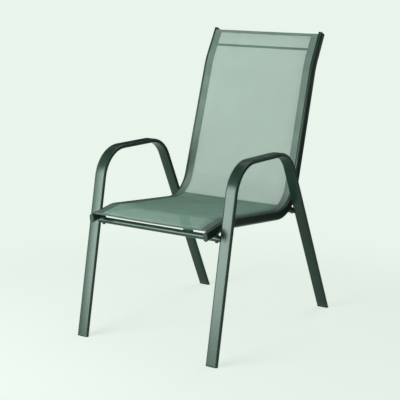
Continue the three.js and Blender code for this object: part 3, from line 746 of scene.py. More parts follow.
def side_frame_skin(side):
    """The bent tube with its wall, hollow from below each leg to twice the depth of the foot's plug."""
    sizes = settings().frame
    line = frame_line()
    edge = 0.4 * mm
    outer = oval(sizes.tube_width, sizes.tube_thickness)
    inner = oval(sizes.tube_width, sizes.tube_thickness, -sizes.tube_wall)
    softened = oval(sizes.tube_width, sizes.tube_thickness, -edge)
    deep = sizes.foot_height + 2 * sizes.foot_plug
    ends = {}
    for end, distance in (("front", 0.0), ("back", line.length)):
        ends[end] = [
            slid_ring(line, distance, inner, side, deep),
            slid_ring(line, distance, inner, side, sizes.foot_height),
            slid_ring(line, distance, softened, side, sizes.foot_height),
            slid_ring(line, distance, outer, side, sizes.foot_height + edge),
        ]
    margin = 2 * sizes.tube_thickness
    marks = line.distances(margin, line.length - margin, run_step=70 * mm, bend_step=5 * mm)
    between = [ring_at(line, mark, outer, frame_matrix(side)) for mark in marks]
    return joined_rings([*ends["front"], *between, *reversed(ends["back"])])


class PATIO_OT_side_frames(bpy.types.Operator):
    """Build the two bent side frames"""

    bl_idname = "patio_chair.side_frames"
    bl_label = "Side Frames"

    def execute(self, context):
        for side in SIDES:
            add_piece(f"{side}_frame_tube", side_frame_skin(side), "frame_steel", [f"{side}_side_frame"])
        return {"FINISHED"}


def coped_end(angle, radius, leg_heading):
    """How far from the middle plane a crossbar's end lies at an angle round the bar."""
    sizes = settings().frame
    spot = radius * cmath.exp(1j * angle)
    across_leg = abs((spot * (leg_heading * 1j).conjugate()).real)
    leg_radius = sizes.tube_thickness / 2 + FIT_GAP
    flank = frame_offset() - (sizes.tube_width - sizes.tube_thickness) / 2
    limit = frame_offset() - sizes.tube_width / 2 + sizes.bar_cope
    if across_leg >= leg_radius:
        return limit
    return min(limit, flank - math.sqrt(leg_radius**2 - across_leg**2))


def crossbar_skin(end):
    """A round tube with both ends cut to the legs' shape."""
    sizes = settings().frame
    centre = centre_of(f"{end}_crossbar")
    climb = centre - foot_spots()[end]
    leg_heading = climb / abs(climb)
    angles = all_round(64)
    outer = sizes.bar_diameter / 2
    inner = outer - sizes.tube_wall

    def ring(radius, reach):
        spots = centre + radius * np.exp(1j * angles)
        return np.column_stack([reach, spots.real, spots.imag])

    inner_cut = np.array([coped_end(angle, inner, leg_heading) for angle in angles])
    outer_cut = np.array([coped_end(angle, outer, leg_heading) for angle in angles])
    deep = np.full(len(angles), inner_cut.min() - 2 * sizes.foot_plug)
    straight = outer_cut.min() - sizes.bar_cope
    marks = np.linspace(-straight, straight, num=9)
    rings = [ring(inner, -deep), ring(inner, -inner_cut), ring(outer, -outer_cut)]
    rings += [ring(outer, np.full(len(angles), mark)) for mark in marks]
    rings += [ring(outer, outer_cut), ring(inner, inner_cut), ring(inner, deep)]
    return joined_rings(rings)


class PATIO_OT_crossbars(bpy.types.Operator):
    """Build the front and back crossbars, coped onto the legs"""

    bl_idname = "patio_chair.crossbars"
    bl_label = "Crossbars"

    def execute(self, context):
        for end in ENDS:
            add_piece(f"{end}_bar_tube", crossbar_skin(end), "frame_steel", [f"{end}_crossbar"])
        return {"FINISHED"}


def rail_section(side):
    """The rail's slotted section, a C of even wall with rounded lips and its slot nearer the other rail."""
    rail = settings().rail
    wall = settings().frame.tube_wall
    outer, bore = rail.width / 2, rail.width / 2 - wall
    middle, lip_radius = (outer + bore) / 2, wall / 2
    centre = rail.depth / 2 - outer
    upper, lower = (0.0, centre), (0.0, -centre)
    reach = rail.slot / 2 + lip_radius
    outer_lip = math.acos((reach - rail.slot_inset) / middle)
    inner_lip = math.acos((-reach - rail.slot_inset) / middle)
    half_turn = math.pi

    def lip_centre(angle):
        return middle * math.cos(angle), centre + middle * math.sin(angle)

    section = np.vstack([
        arc(lip_radius, lip_centre(outer_lip), outer_lip + half_turn, outer_lip, steps=6),
        arc(outer, upper, outer_lip, 0.0, steps=10)[1:],
        arc(outer, lower, 0.0, -half_turn, steps=16),
        arc(outer, upper, half_turn, inner_lip, steps=3)[:-1],
        arc(lip_radius, lip_centre(inner_lip), inner_lip, inner_lip - half_turn, steps=6),
        arc(bore, upper, inner_lip, half_turn, steps=2)[1:],
        arc(bore, lower, -half_turn, 0.0, steps=12),
        arc(bore, upper, 0.0, outer_lip, steps=7)[:-1],
    ])
    return section * (SIDES[side], 1)


class PATIO_OT_rails(bpy.types.Operator):
    """Build the two slotted rails that hold the mesh"""

    bl_idname = "patio_chair.rails"
    bl_label = "Sling Rails"

    def execute(self, context):
        line = rail_line()
        marks = line.distances(0.0, line.length, run_step=70 * mm, bend_step=6 * mm)
        for side in SIDES:
            section = rail_section(side)
            rings = [ring_at(line, mark, section, rail_matrix(side)) for mark in marks]
            add_piece(f"{side}_rail_tube", joined_rings(rings), "frame_steel", [f"{side}_sling_rail"])
        return {"FINISHED"}


class PATIO_OT_spreader(bpy.types.Operator):
    """Build the spreader rod behind the mesh near its top"""

    bl_idname = "patio_chair.spreader"
    bl_label = "Spreader Rod"

    def execute(self, context):
        low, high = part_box("top_spreader_rod")
        middle = (low + high) / 2
        radius, reach = (high.z - low.z) / 2, (high.x - low.x) / 2
        chamfer = 0.5 * mm
        stops = [-reach + chamfer, *np.linspace(-reach, reach, num=9)[1:-1], reach - chamfer]
        profile = [(radius - chamfer, -reach), *[(radius, stop) for stop in stops],
                   (radius - chamfer, reach)]
        axis = Matrix.Translation(middle) @ Matrix.Rotation(math.pi / 2, 4, "Y")
        add_piece("spreader_rod", turned(profile, axis, sides=40), "frame_steel", ["top_spreader_rod"])
        return {"FINISHED"}


def socket_head(outline, axis, socket_width, socket_depth, sides=36):
    """A screw turned from an outline of (radius, height) pairs, with a six-sided socket in its top."""
    angles = all_round(sides)
    top = outline[-1][1]
    apothem = socket_width / 2
    bevel = 0.25 * mm
    rings = []
    for radius, height in outline:
        rings.append([(radius * math.cos(a), radius * math.sin(a), height) for a in angles])
    sixth = math.pi / 3
    for growth, height in ((bevel, top), (0.0, top - bevel), (0.0, top - socket_depth)):
        hexagon = []
        for a in angles:
            offset = (a + sixth / 2) % sixth - sixth / 2
            radius = (apothem + growth) / math.cos(offset)
            hexagon.append((radius * math.cos(a), radius * math.sin(a), height))
        rings.append(hexagon)
    turned_rings = [np.array([axis @ Vector(point) for point in ring]) for ring in rings]
    return joined_rings(turned_rings)


def rail_axis(side, place, up):
    """A matrix that sets a shape made along +Z on a rail's place in the YZ plane, pointing along up."""
    axis = up / abs(up)
    across = Vector((1.0, 0.0, 0.0))
    towards = Vector((0.0, axis.real, axis.imag))
    basis = Matrix((across, towards.cross(across), towards)).transposed().to_4x4()
    return rail_matrix(side) @ Matrix.Translation((0.0, place.real, place.imag)) @ basis


def rail_bolt_skin(side, end):
    """The bolt through a crossbar into a rail, with a domed socket head under the bar."""
    shank_radius, shank_length = 3 * mm, 28 * mm
    head_radius, head_height = settings().rail.bolt_head / 2, 3.3 * mm
    neck = 0.6 * mm
    dome, dome_steps = 1.4 * mm, 6
    bar = centre_of(f"{end}_crossbar")
    low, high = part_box(f"{side}_{end}_rail_bolt")
    middle = rail_matrix(side).inverted() @ ((low + high) / 2)
    down = bar - complex(middle.y, middle.z)
    seat = settings().frame.bar_diameter / 2 + FIT_GAP
    outline = [(shank_radius, -shank_length), (shank_radius, seat - neck), (shank_radius, seat),
               (head_radius, seat)]
    for step in range(dome_steps + 1):
        angle = step * math.pi / 2 / dome_steps
        outline.append((head_radius - dome * (1 - math.cos(angle)),
                        seat + head_height - dome * (1 - math.sin(angle))))
    axis = rail_axis(side, bar, down)
    return socket_head(outline, axis, socket_width=4 * mm, socket_depth=2 * mm)


def spreader_screw_skin(side):
    """The countersunk screw that holds an end of the spreader rod through a rail's outer face."""
    shank_radius = 2 * mm
    head_radius, head_depth = settings().rail.screw_head / 2, 2.2 * mm
    # The head's rim, in millimetres in from its widest and down from its top
    rim = ((0.3, 0.5), (0.1, 0.15), (0.35, 0.0))
    low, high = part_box(f"{side}_spreader_screw")
    middle = (low + high) / 2
    inner, outer = sorted([SIDES[side] * low.x, SIDES[side] * high.x])
    outline = [(shank_radius, inner), (shank_radius, outer - head_depth)]
    outline += [(head_radius - inset * mm, outer - depth * mm) for inset, depth in rim]
    turn = Matrix.Rotation(SIDES[side] * math.pi / 2, 4, "Y")
    axis = Matrix.Translation((0.0, middle.y, middle.z)) @ turn
    return socket_head(outline, axis, socket_width=2.5 * mm, socket_depth=1.4 * mm)


class PATIO_OT_screws(bpy.types.Operator):
    """Build the bolts under the crossbars and the countersunk screws at the spreader rod"""

    bl_idname = "patio_chair.screws"
    bl_label = "Bolts and Screws"

    def execute(self, context):
        for side in SIDES:
            for end in ENDS:
                add_piece(f"{side}_{end}_bolt", rail_bolt_skin(side, end), "black_screw_steel",
                          [f"{side}_{end}_rail_bolt"])
            add_piece(f"{side}_side_screw", spreader_screw_skin(side), "black_screw_steel",
                      [f"{side}_spreader_screw"])
        return {"FINISHED"}


# Plastic ends


def cap_skin(side, distance, ahead):
    """A rail's end cap: a crowned cover with soft edges and a plug below the hem's loop."""
    rail = settings().rail
    line = rail_line()
    _, heading = line.at(distance)
    matrix = rail_matrix(side)
    plug_inset = settings().frame.tube_wall + FIT_GAP
    plug_top = 1.5 * mm
    soft_edge = 0.3 * mm
    round_edge, round_steps = 1.1 * mm, 5
    crown, crown_steps = 0.5 * mm, 4
    rings = []

    def add(growth, out, top=None):
        """One ring, grown from the rail's section and moved out from the rail's end."""
        section = oval(rail.width, rail.depth, growth)
        if top is not None:
            section[:, 1] = np.minimum(section[:, 1], top)
        ring = ring_at(line, distance, section, Matrix.Identity(4))
        ring[:, 1] += heading.real * out * ahead
        ring[:, 2] += heading.imag * out * ahead
        rings.append(np.array([matrix @ Vector(point) for point in ring]))

    add(-plug_inset, -rail.cap_plug, plug_top)
    add(-plug_inset, FIT_GAP, plug_top)
    add(rail.cap_lip - soft_edge, FIT_GAP)
    add(rail.cap_lip, FIT_GAP + soft_edge)
    edge_out = FIT_GAP + rail.cap_thickness - crown
    for step in range(round_steps + 1):
        angle = step * math.pi / 2 / round_steps
        add(rail.cap_lip - round_edge * (1 - math.cos(angle)),
            edge_out - round_edge * (1 - math.sin(angle)))
    for step in range(1, crown_steps + 1):
        inset = round_edge + (rail.width / 2 - round_edge) * step / (crown_steps + 1)
        add(rail.cap_lip - inset, edge_out + crown * (1 - (1 - step / crown_steps) ** 2))
    return joined_rings(rings)


class PATIO_OT_rail_caps(bpy.types.Operator):
    """Build the plastic caps in the rails' ends"""

    bl_idname = "patio_chair.rail_caps"
    bl_label = "Rail Caps"

    def execute(self, context):
        ends = {"front": (0.0, -1), "top": (rail_line().length, 1)}
        for side in SIDES:
            for end, (distance, ahead) in ends.items():
                add_piece(f"{side}_{end}_cap", cap_skin(side, distance, ahead), "end_plastic",
                          [f"{side}_rail_{end}_cap"])
        return {"FINISHED"}


def glide_skin(side, distance):
    """A foot: a flange with a soft lower edge under the leg, and a ribbed plug inside the tube."""
    sizes = settings().frame
    line = frame_line()
    top = sizes.foot_height - FIT_GAP
    plug = -sizes.tube_wall - FIT_GAP
    lip = sizes.foot_lip
    tip_height, tip_inset = 2 * mm, 0.8 * mm
    soft_edge, sole_edge = 0.3 * mm, 0.9 * mm
    groove = 0.5 * mm
    ribs = 5
    # Inset from the plug's face, and height as a share of the ribs' pitch
    rib_shares = ((0.0, 0.9), (0.0, 0.5), (groove, 0.4), (groove, 0.0))
    # Inset and height of the sole's rounded edge, as shares of its size
    sole_shares = ((0.0, 1.0), (1 / 6, 1 / 2), (1 / 2, 1 / 6), (1.0, 0.0))
    levels = [(plug - tip_inset, sizes.foot_height + sizes.foot_plug)]
    rib_pitch = (sizes.foot_plug - tip_height) / ribs
    for rib in reversed(range(ribs)):
        base = sizes.foot_height + rib_pitch * rib
        levels += [(plug - inset, base + rib_pitch * way) for inset, way in rib_shares]
    levels += [(plug - groove, top), (lip - soft_edge, top), (lip, top - soft_edge)]
    levels += [(lip - sole_edge * inset, sole_edge * way) for inset, way in sole_shares]
    rings = []
    for growth, height in levels:
        section = oval(sizes.tube_width, sizes.tube_thickness, growth)
        rings.append(slid_ring(line, distance, section, side, height))
    return joined_rings(rings)


class PATIO_OT_foot_glides(bpy.types.Operator):
    """Build the plastic feet in the legs' ends"""

    bl_idname = "patio_chair.foot_glides"
    bl_label = "Foot Glides"

    def execute(self, context):
        ends = {"front": 0.0, "back": frame_line().length}
        for side in SIDES:
            for end, distance in ends.items():
                add_piece(f"{side}_{end}_foot", glide_skin(side, distance), "end_plastic",
                          [f"{side}_{end}_foot_glide"])
        return {"FINISHED"}


# Sling


# Where the sheet's five sags lie, as shares of its length from the front edge
SAG_SHARES = (0.0, 0.2, 0.45, 0.7, 1.0)
# Rise and fall of the hem cloth's ribs, and how far the folded ends stand over the side hems
HEM_RELIEF = 0.1 * mm
END_HEM_RISE = 0.15 * mm
# The two rows of stitches in a side hem, from its inner edge
STITCH_ROWS = (4.8 * mm, 2.2 * mm)
# A stitch from end to end: share of its half length, then lift and thickness in thread radii
STITCH_SHARES = ((-1, -1.0, 0.55), (-0.7, 0.0, 0.95), (0, 0.35, 1.0), (0.7, 0.0, 0.95), (1, -1.0, 0.55))


class SlingSurface:
    """The stretched sheet, by distance along the rails and share of the way from the middle to a slot."""

    def __init__(self):
        sling, rail = settings().sling, settings().rail
        self.line = rail_line()
        self.first = sling.front_inset
        self.last = self.line.length - sling.top_inset
        self.matrix = rail_matrix("right")
        self.under = rail.depth / 2 + sling.hem_gap
        self.top = self.under + sling.hem_thickness
        self.middle = self.top - sling.sheet_thickness / 2
        sags = (sling.front_sag, sling.seat_sag, sling.heel_sag, sling.back_sag, sling.top_sag)
        self.sags = list(zip(SAG_SHARES, sags))

    def marks(self, run_step, bend_step, margin=0.0):
        """Distances of rings from the front edge to the top one, with a margin at both."""
        return self.line.distances(self.first + margin, self.last - margin, run_step, bend_step)

    def sag(self, distance):
        """How far the sheet's middle hangs below its edges."""
        way = min(1.0, max(0.0, (distance - self.first) / (self.last - self.first)))
        for (low, before), (high, after) in zip(self.sags, self.sags[1:]):
            if way <= high:
                step = (way - low) / (high - low)
                return before + (after - before) * step * step * (3 - 2 * step)
        return self.sags[-1][1]

    def half_span(self, distance):
        """From the middle plane to a rail's slot, at the sheet's height."""
        place, heading = self.line.at(distance)
        spot = place + heading * 1j * self.middle
        return (self.matrix @ Vector((0.0, spot.real, spot.imag))).x

    def points(self, distance, shares, height):
        """Points across the sheet at one distance, at a height over the rails' centre line."""
        place, heading = self.line.at(distance)
        left = heading * 1j
        spot = place + left * height
        edge = self.matrix @ Vector((0.0, spot.real, spot.imag))
        drops = self.sag(distance) * (1 - np.square(shares))
        return np.column_stack([edge.x * shares, edge.y - left.real * drops, edge.z - left.imag * drops])

    def normal(self, distance):
        """Direction square to the sheet, towards the sitter."""
        _, heading = self.line.at(distance)
        left = heading * 1j
        return np.array([0.0, left.real, left.imag])

    def forward(self, distance):
        """Direction along the sheet, from its front edge to its top edge."""
        _, heading = self.line.at(distance)
        return np.array([0.0, heading.real, heading.imag])


def yarn_rings(centres, across, normals, width, height):
    """Four-sided rings of one yarn, as an array of rings."""
    return np.stack([centres + across * width / 2, centres + normals * height / 2,
                     centres - across * width / 2, centres - normals * height / 2], axis=1)


def mesh_skin(surface):
    """Every yarn of the open mesh: warp along the sheet and weft across it, between the hems."""
    sling = settings().sling
    width, height = sling.yarn_width, sling.yarn_height
    corners = np.array([1, 0, -1, 0]) * width / 2
    tuck = 2 * mm
    crimp_share = 0.16
    margin = sling.end_hem_width - tuck
    marks = np.array(surface.marks(run_step=34 * mm, bend_step=12 * mm, margin=margin))
    normals = np.array([surface.normal(mark) for mark in marks])
    spans = np.array([surface.half_span(mark) for mark in marks])
    clear = spans.max() - sling.hem_width + tuck
    count = int(2 * clear / sling.yarn_pitch)
    shares = (np.arange(count) - (count - 1) / 2) * sling.yarn_pitch / spans.max()
    grid = np.stack([surface.points(mark, shares, surface.middle) for mark in marks])
    across = np.array([1.0, 0.0, 0.0])
    skins, places = [], []
    for column in range(count):
        rings = yarn_rings(grid[:, column], across, normals, width, height)
        skins.append(joined_rings(list(rings)))
        spot_x = shares[column] * spans[:, None] + corners
        spot_y = np.repeat(marks[:, None], len(corners), 1)
        places.append(np.stack([spot_x, spot_y], -1).reshape(-1, 2))
    first, last = marks[0], marks[-1]
    rows = int((last - first) / sling.yarn_pitch)
    for row in range(rows + 1):
        mark = first + (row + 0.5) * (last - first) / (rows + 1)
        reach = 1 - (sling.hem_width - tuck) / surface.half_span(mark)
        steps = np.linspace(-reach, reach, num=11)
        crimp = height * (crimp_share if row % 2 else -crimp_share)
        centres = surface.points(mark, steps, surface.middle + crimp)
        rings = yarn_rings(centres, surface.forward(mark), surface.normal(mark), width, height)
        skins.append(joined_rings(list(rings)))
        spot_x = np.repeat(centres[:, :1], len(corners), 1)
        spot_y = np.broadcast_to(mark + corners, spot_x.shape)
        places.append(np.stack([spot_x, spot_y], -1).reshape(-1, 2))
    return several(skins), np.concatenate(places)


def side_hem_skin(surface, side):
    """Doubled mesh along a rail: a tongue in the slot and a ribbed strip over the rail's inner lip."""
    sling, rail = settings().sling, settings().rail
    thickness = sling.hem_thickness
    tongue = 6 * mm
    depth = rail.depth / 2 - tongue
    start = rail.slot_inset - thickness / 2
    end = sling.hem_width - thickness / 2
    ribs = round((end - start - thickness) / (sling.yarn_pitch / 2))
    rib_steps = 4
    inward = np.linspace(start + thickness, end, rib_steps * ribs + 1)
    relief = HEM_RELIEF * np.cos(np.arange(rib_steps * ribs + 1) * 2 * math.pi / rib_steps)
    upper = np.column_stack([inward, surface.top - HEM_RELIEF + relief])
    fold = arc(thickness, (start + thickness, surface.under), math.pi, math.pi / 2, steps=5)
    edge = arc(thickness / 2, (end, surface.under + thickness / 2), math.pi / 2, -math.pi / 2, steps=4)
    lower = np.column_stack([inward[::-rib_steps], np.full(ribs + 1, surface.under)])
    outline = np.vstack([[(start, depth)], fold, upper[1:], edge[1:], lower[1:],
                         [(start + thickness, depth)]])
    rings, places = [], []
    for mark in surface.marks(run_step=12 * mm, bend_step=5 * mm):
        shares = SIDES[side] * (1 - outline[:, 0] / surface.half_span(mark))
        ring = np.vstack([surface.points(mark, np.array([one]), height)
                          for one, height in zip(shares, outline[:, 1])])
        rings.append(ring)
        places.append(np.column_stack([ring[:, 0], np.full(len(ring), mark)]))
    return joined_rings(rings), np.concatenate(places)


def end_hem_skin(surface, at_top):
    """The folded edge at the front or the top, from slot to slot."""
    sling = settings().sling
    slot_side = settings().rail.slot_inset
    upper = surface.top + END_HEM_RISE
    lower = surface.under
    middle = (upper + lower) / 2
    radius = (upper - lower) / 2
    reach = sling.end_hem_width
    soft_edge = 0.3 * mm
    ribs = 9
    fold = arc(radius, (-radius, middle), math.pi / 2, -math.pi / 2, steps=6)
    inner = [(-reach, lower), (-reach - soft_edge, lower + soft_edge),
             (-reach - soft_edge, upper - soft_edge), (-reach, upper)]
    top_side = [(-reach + (reach - radius) * step / ribs,
                 upper - HEM_RELIEF * (step % 2)) for step in range(1, ribs)]
    outline = np.vstack([fold, inner, top_side])
    edge = surface.last if at_top else surface.first
    sign = 1 if at_top else -1
    limit = 1 - slot_side / surface.half_span(edge)
    shares = np.linspace(-limit, limit, num=61)
    columns = [surface.points(edge + sign * along, shares, height) for along, height in outline]
    rings = list(np.stack(columns, axis=1))
    marks = edge + sign * outline[:, 0]
    places = [np.column_stack([ring[:, 0], marks]) for ring in rings]
    return joined_rings(rings), np.concatenate(places)


def stitch_skin(centre, along, normal):
    """One stitch: a short thread that dips into the cloth at both ends."""
    sling = settings().sling
    across = np.cross(along, normal)
    radius = sling.thread_diameter / 2
    rings = []
    angles = all_round(6)[:, None]
    for way, lift, swell in STITCH_SHARES:
        middle = centre + along * way * sling.stitch_length / 2 + normal * lift * radius
        rings.append(middle + radius * swell * (np.cos(angles) * across + np.sin(angles) * normal))
    return joined_rings(rings)


def side_stitches(surface, side):
    """Two rows of stitches near a side hem's inner edge, on both faces of the cloth."""
    sling = settings().sling
    skins = []
    first, last = surface.first + sling.end_hem_width, surface.last - sling.end_hem_width
    count = int((last - first) / sling.stitch_pitch)
    for row in STITCH_ROWS:
        inward = sling.hem_width - row
        for step in range(count):
            mark = first + (step + 0.5) * (last - first) / count
            spot = np.array([SIDES[side] * (1 - inward / surface.half_span(mark))])
            for height, sign in ((surface.top - HEM_RELIEF, 1), (surface.under, -1)):
                centre = surface.points(mark, spot, height)[0]
                skins.append(stitch_skin(centre, surface.forward(mark), sign * surface.normal(mark)))
    return several(skins)


def end_stitches(surface, at_top):
    """One row of stitches along a folded edge, on both faces of the cloth."""
    sling = settings().sling
    row = 7 * mm
    end_gap = 3 * mm
    mark = surface.last - row if at_top else surface.first + row
    span = surface.half_span(mark)
    count = int(2 * (span - end_gap) / sling.stitch_pitch)
    across = np.array([1.0, 0.0, 0.0])
    skins = []
    for step in range(count):
        spot = np.array([(step + 0.5 - count / 2) * sling.stitch_pitch / span])
        for height, sign in ((surface.top + END_HEM_RISE, 1), (surface.under, -1)):
            centre = surface.points(mark, spot, height)[0]
            skins.append(stitch_skin(centre, across, sign * surface.normal(mark)))
    return several(skins)


def write_places(piece, places, name, scale=(1.0, 1.0), shift=(0.0, 0.0)):
    """A UV map that gives each point's place on the sheet."""
    mesh = piece.data
    layer = mesh.uv_layers.new(name=name)
    corners = np.zeros(len(mesh.loops), dtype=np.int32)
    mesh.loops.foreach_get("vertex_index", corners)
    values = (places[corners] * scale + shift).astype(np.float32)
    layer.data.foreach_set("uv", values.ravel())


class PATIO_OT_hems(bpy.types.Operator):
    """Build the doubled hems and their stitching"""

    bl_idname = "patio_chair.hems"
    bl_label = "Hems and Stitches"

    def execute(self, context):
        surface = SlingSurface()
        for side in SIDES:
            skin, places = side_hem_skin(surface, side)
            hem = add_piece(f"{side}_side_hem", skin, "sling_mesh", finish="hem")
            write_places(hem, places, PLACE_UV)
            add_piece(f"{side}_hem_stitches", side_stitches(surface, side), "sling_mesh", finish="thread")
        for name, at_top in (("front", False), ("top", True)):
            skin, places = end_hem_skin(surface, at_top)
            hem = add_piece(f"{name}_edge_hem", skin, "sling_mesh", finish="hem")
            write_places(hem, places, PLACE_UV)
            add_piece(f"{name}_edge_stitches", end_stitches(surface, at_top), "sling_mesh", finish="thread")
        return {"FINISHED"}


class PATIO_OT_mesh_sheet(bpy.types.Operator):
    bl_idname = "patio_chair.mesh_sheet"
    bl_label = "Mesh Sheet"

    def execute(self, context):
        surface = SlingSurface()
        skin, places = mesh_skin(surface)
        sheet = add_piece("mesh_sheet", skin, "sling_mesh", ["sling_fabric"], sharp_degrees=180.0)
        widest, longest = 2 * surface.half_span(surface.first), surface.last - surface.first
        write_places(sheet, places, BAKE_UV, scale=(1 / widest, 1 / longest),
                     shift=(0.5, -surface.first / longest))
        taper = 2 * (surface.half_span(surface.first) - surface.half_span(surface.last))
        trim = [f"{side}_{kind}" for side in SIDES for kind in ("side_hem", "hem_stitches")]
        trim += [f"{end}_edge_{kind}" for end in ("front", "top") for kind in ("hem", "stitches")]
        return {"FINISHED"}


class PATIO_OT_inner_parts(bpy.types.Operator):
    """Give the parts that stay from the model their finishes"""

    bl_idname = "patio_chair.inner_parts"
    bl_label = "Inner Parts"

    def execute(self, context):
        slots = {row["node"]: row["material_slot"] for row in frame["record"]["subparts"]}
        for name, node in frame["nodes"].items():
            if node.hide_render:
                continue
            node.data.materials.clear()
            node.data.materials.append(finish_for(slots[name]))
        return {"FINISHED"}


# Studio


def seen_rays(tree):
    """1 on rays that show a surface, straight, mirrored or through glass, and 0 on rays that only light."""
    path = add_node(tree, "ShaderNodeLightPath")
    seen = math_node(tree, "MAXIMUM", path.outputs["Is Camera Ray"], path.outputs["Is Glossy Ray"])
    return math_node(tree, "MAXIMUM", seen, path.outputs["Is Transmission Ray"])


def pale_floor():
    """A pale floor with faint soft shadows near the chair, which turns into the backdrop further out."""
    studio = settings().studio
    material = bpy.data.materials.new("pale_floor")
    material.use_nodes = True
    tree = material.node_tree
    tree.nodes.clear()
    seen = seen_rays(tree)
    place = add_node(tree, "ShaderNodeTexCoord").outputs["Object"]
    distance = add_node(tree, "ShaderNodeVectorMath", {0: place}, operation="LENGTH").outputs["Value"]
    far = ramped(tree, distance, studio.fade_start, studio.fade_end)
    colour = blended(tree, far, rgba(studio.floor), rgba(studio.backdrop))
    plain = add_node(tree, "ShaderNodeBsdfDiffuse", {"Color": colour})
    glow = add_node(tree, "ShaderNodeEmission", {"Color": colour, "Strength": 1.0})
    own_light = math_node(tree, "MULTIPLY_ADD", far, 1 - studio.floor_glow, studio.floor_glow)
    shown = math_node(tree, "MULTIPLY", seen, own_light)
    mixed = add_node(tree, "ShaderNodeMixShader", {0: shown, 1: plain.outputs[0], 2: glow.outputs[0]})
    output = add_node(tree, "ShaderNodeOutputMaterial")
    tree.links.new(mixed.outputs[0], output.inputs["Surface"])
    return material


def add_floor():
    """The round floor, at the height on which the feet stand."""
    studio = settings().studio
    angles = all_round(96)
    points = np.column_stack([studio.floor_radius * np.cos(angles), studio.floor_radius * np.sin(angles),
                              np.zeros(len(angles))])
    floor = add_mesh("studio_floor", (points, [list(range(len(angles)))]), pale_floor())


def add_flag(name, place, target, width, height, shade):
    """A grey card that keeps the pale backdrop out of the coat's reflections; the camera doesn't see it."""
    corners = np.array([(-1, -1, 0), (1, -1, 0), (1, 1, 0), (-1, 1, 0)]) * (width / 2, height / 2, 0)
    material, _, shader = new_material(name)
    shader.inputs["Base Color"].default_value = rgba([shade] * 3)
    shader.inputs["Specular IOR Level"].default_value = 0.0
    shader.inputs["Roughness"].default_value = 1.0
    flag = add_mesh(name, (corners, [[0, 1, 2, 3]]), material)
    flag.location = place
    flag.rotation_euler = (Vector(place) - Vector(target)).to_track_quat("Z", "Y").to_euler()
    flag.visible_camera = False
    flag.visible_diffuse = False
    flag.visible_transmission = False
    flag.visible_shadow = False


def light_world():
    """One backdrop colour for what is seen, and a modest even light for what is lit."""
    studio = settings().studio
    world = bpy.data.worlds.new("studio_air")
    bpy.context.scene.world = world
    world.use_nodes = True
    tree = world.node_tree
    tree.nodes.clear()
    seen = seen_rays(tree)
    backdrop = add_node(tree, "ShaderNodeBackground", {"Color": rgba(studio.backdrop), "Strength": 1.0})
    air = add_node(tree, "ShaderNodeBackground", {"Color": rgba([studio.ambient] * 3), "Strength": 1.0})
    mixed = add_node(tree, "ShaderNodeMixShader", {0: seen, 1: air.outputs[0], 2: backdrop.outputs[0]})
    output = add_node(tree, "ShaderNodeOutputWorld")
    tree.links.new(mixed.outputs[0], output.inputs["Surface"])


def add_lamp(name, place, target, width, height, power):
    """A softbox that looks at a target; the camera doesn't see it."""
    lamp = bpy.data.lights.new(name, "AREA")
    lamp.shape = "RECTANGLE"
    lamp.size, lamp.size_y = width, height
    lamp.energy = power
    holder = bpy.data.objects.new(name, lamp)
    holder.location = place
    holder.rotation_euler = (Vector(target) - Vector(place)).to_track_quat("-Z", "Y").to_euler()
    holder.visible_camera = False
    bpy.context.scene.collection.objects.link(holder)


def add_camera():
    """The camera, at the angles and distance that the settings give."""
    studio = settings().studio
    az, el, roll = studio.azimuth, studio.elevation, studio.roll
    back = Vector((math.sin(az) * math.cos(el), -math.cos(az) * math.cos(el), math.sin(el)))
    level = Vector((math.cos(az), math.sin(az), 0.0))
    upright = back.cross(level)
    right = math.cos(roll) * level + math.sin(roll) * upright
    up = back.cross(right)
    camera = bpy.data.cameras.new("chair_camera")
    camera.lens = studio.lens
    camera.sensor_width = 36.0
    holder = bpy.data.objects.new("chair_camera", camera)
    turn = Matrix((right, up, back)).transposed().to_4x4()
    holder.matrix_world = Matrix.Translation(Vector(studio.target) + back * studio.distance) @ turn
    bpy.context.scene.collection.objects.link(holder)
    bpy.context.scene.camera = holder


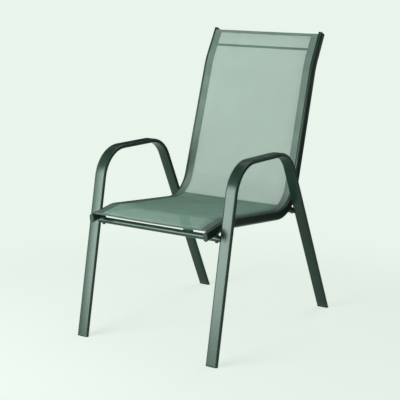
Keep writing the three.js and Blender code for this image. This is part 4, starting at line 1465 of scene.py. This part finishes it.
class PATIO_OT_studio(bpy.types.Operator):
    """Set up the pale floor, the lamps, the grey cards and the camera"""

    bl_idname = "patio_chair.studio"
    bl_label = "Studio"

    def execute(self, context):
        scene = context.scene
        scene.view_settings.view_transform = "Standard"
        add_floor()
        light_world()
        add_lamp("key_softbox", place=(-0.9, -2.25, 0.84), target=(0.0, -0.1, 0.4),
                 width=1.65, height=1.52, power=134.0)
        add_lamp("top_softbox", place=(0.2, 0.7, 2.5), target=(0.0, 0.0, 0.4),
                 width=2.0, height=2.0, power=14.0)
        add_lamp("back_softbox", place=(0.2, 2.6, 1.0), target=(0.0, 0.0, 0.5),
                 width=1.3, height=1.3, power=28.0)
        add_flag("right_flag", place=(0.64, 0.66, 0.86), target=(0.17, -0.05, 0.86),
                 width=2.2, height=1.55, shade=0.08)
        add_flag("back_flag", place=(-1.2, 1.9, 1.1), target=(0.0, 0.1, 0.7),
                 width=3.4, height=2.2, shade=0.012)
        add_flag("upper_flag", place=(-1.25, -0.3, 2.1), target=(0.0, 0.0, 0.5),
                 width=2.2, height=1.8, shade=0.15)
        add_camera()
        return {"FINISHED"}


STEPS = (
    PATIO_OT_side_frames,
    PATIO_OT_crossbars,
    PATIO_OT_rails,
    PATIO_OT_spreader,
    PATIO_OT_screws,
    PATIO_OT_rail_caps,
    PATIO_OT_foot_glides,
    PATIO_OT_hems,
    PATIO_OT_mesh_sheet,
    PATIO_OT_inner_parts,
    PATIO_OT_studio,
)


class PATIO_PT_panel(bpy.types.Panel):
    """The chair's building steps in the sidebar"""

    bl_idname = "PATIO_PT_panel"
    bl_label = "Sling Patio Chair"
    bl_space_type = "VIEW_3D"
    bl_region_type = "UI"
    bl_category = "Patio Chair"

    def draw(self, context):
        for step in STEPS:
            self.layout.operator(step.bl_idname)


CLASSES = (
    ChairFrameSizes,
    ChairRailSizes,
    ChairSlingSizes,
    ChairFinishes,
    ChairStudio,
    ChairSettings,
    *STEPS,
    PATIO_PT_panel,
)


def register():
    for cls in CLASSES:
        bpy.utils.register_class(cls)
    bpy.types.Scene.patio_chair = PointerProperty(type=ChairSettings)


def unregister():
    del bpy.types.Scene.patio_chair
    for cls in reversed(CLASSES):
        bpy.utils.unregister_class(cls)


def main():
    """Builds the chair step by step."""
    register()
    for step in STEPS:
        group, name = step.bl_idname.split(".")
        getattr(getattr(bpy.ops, group), name)()


if __name__ == "__main__":
    main()
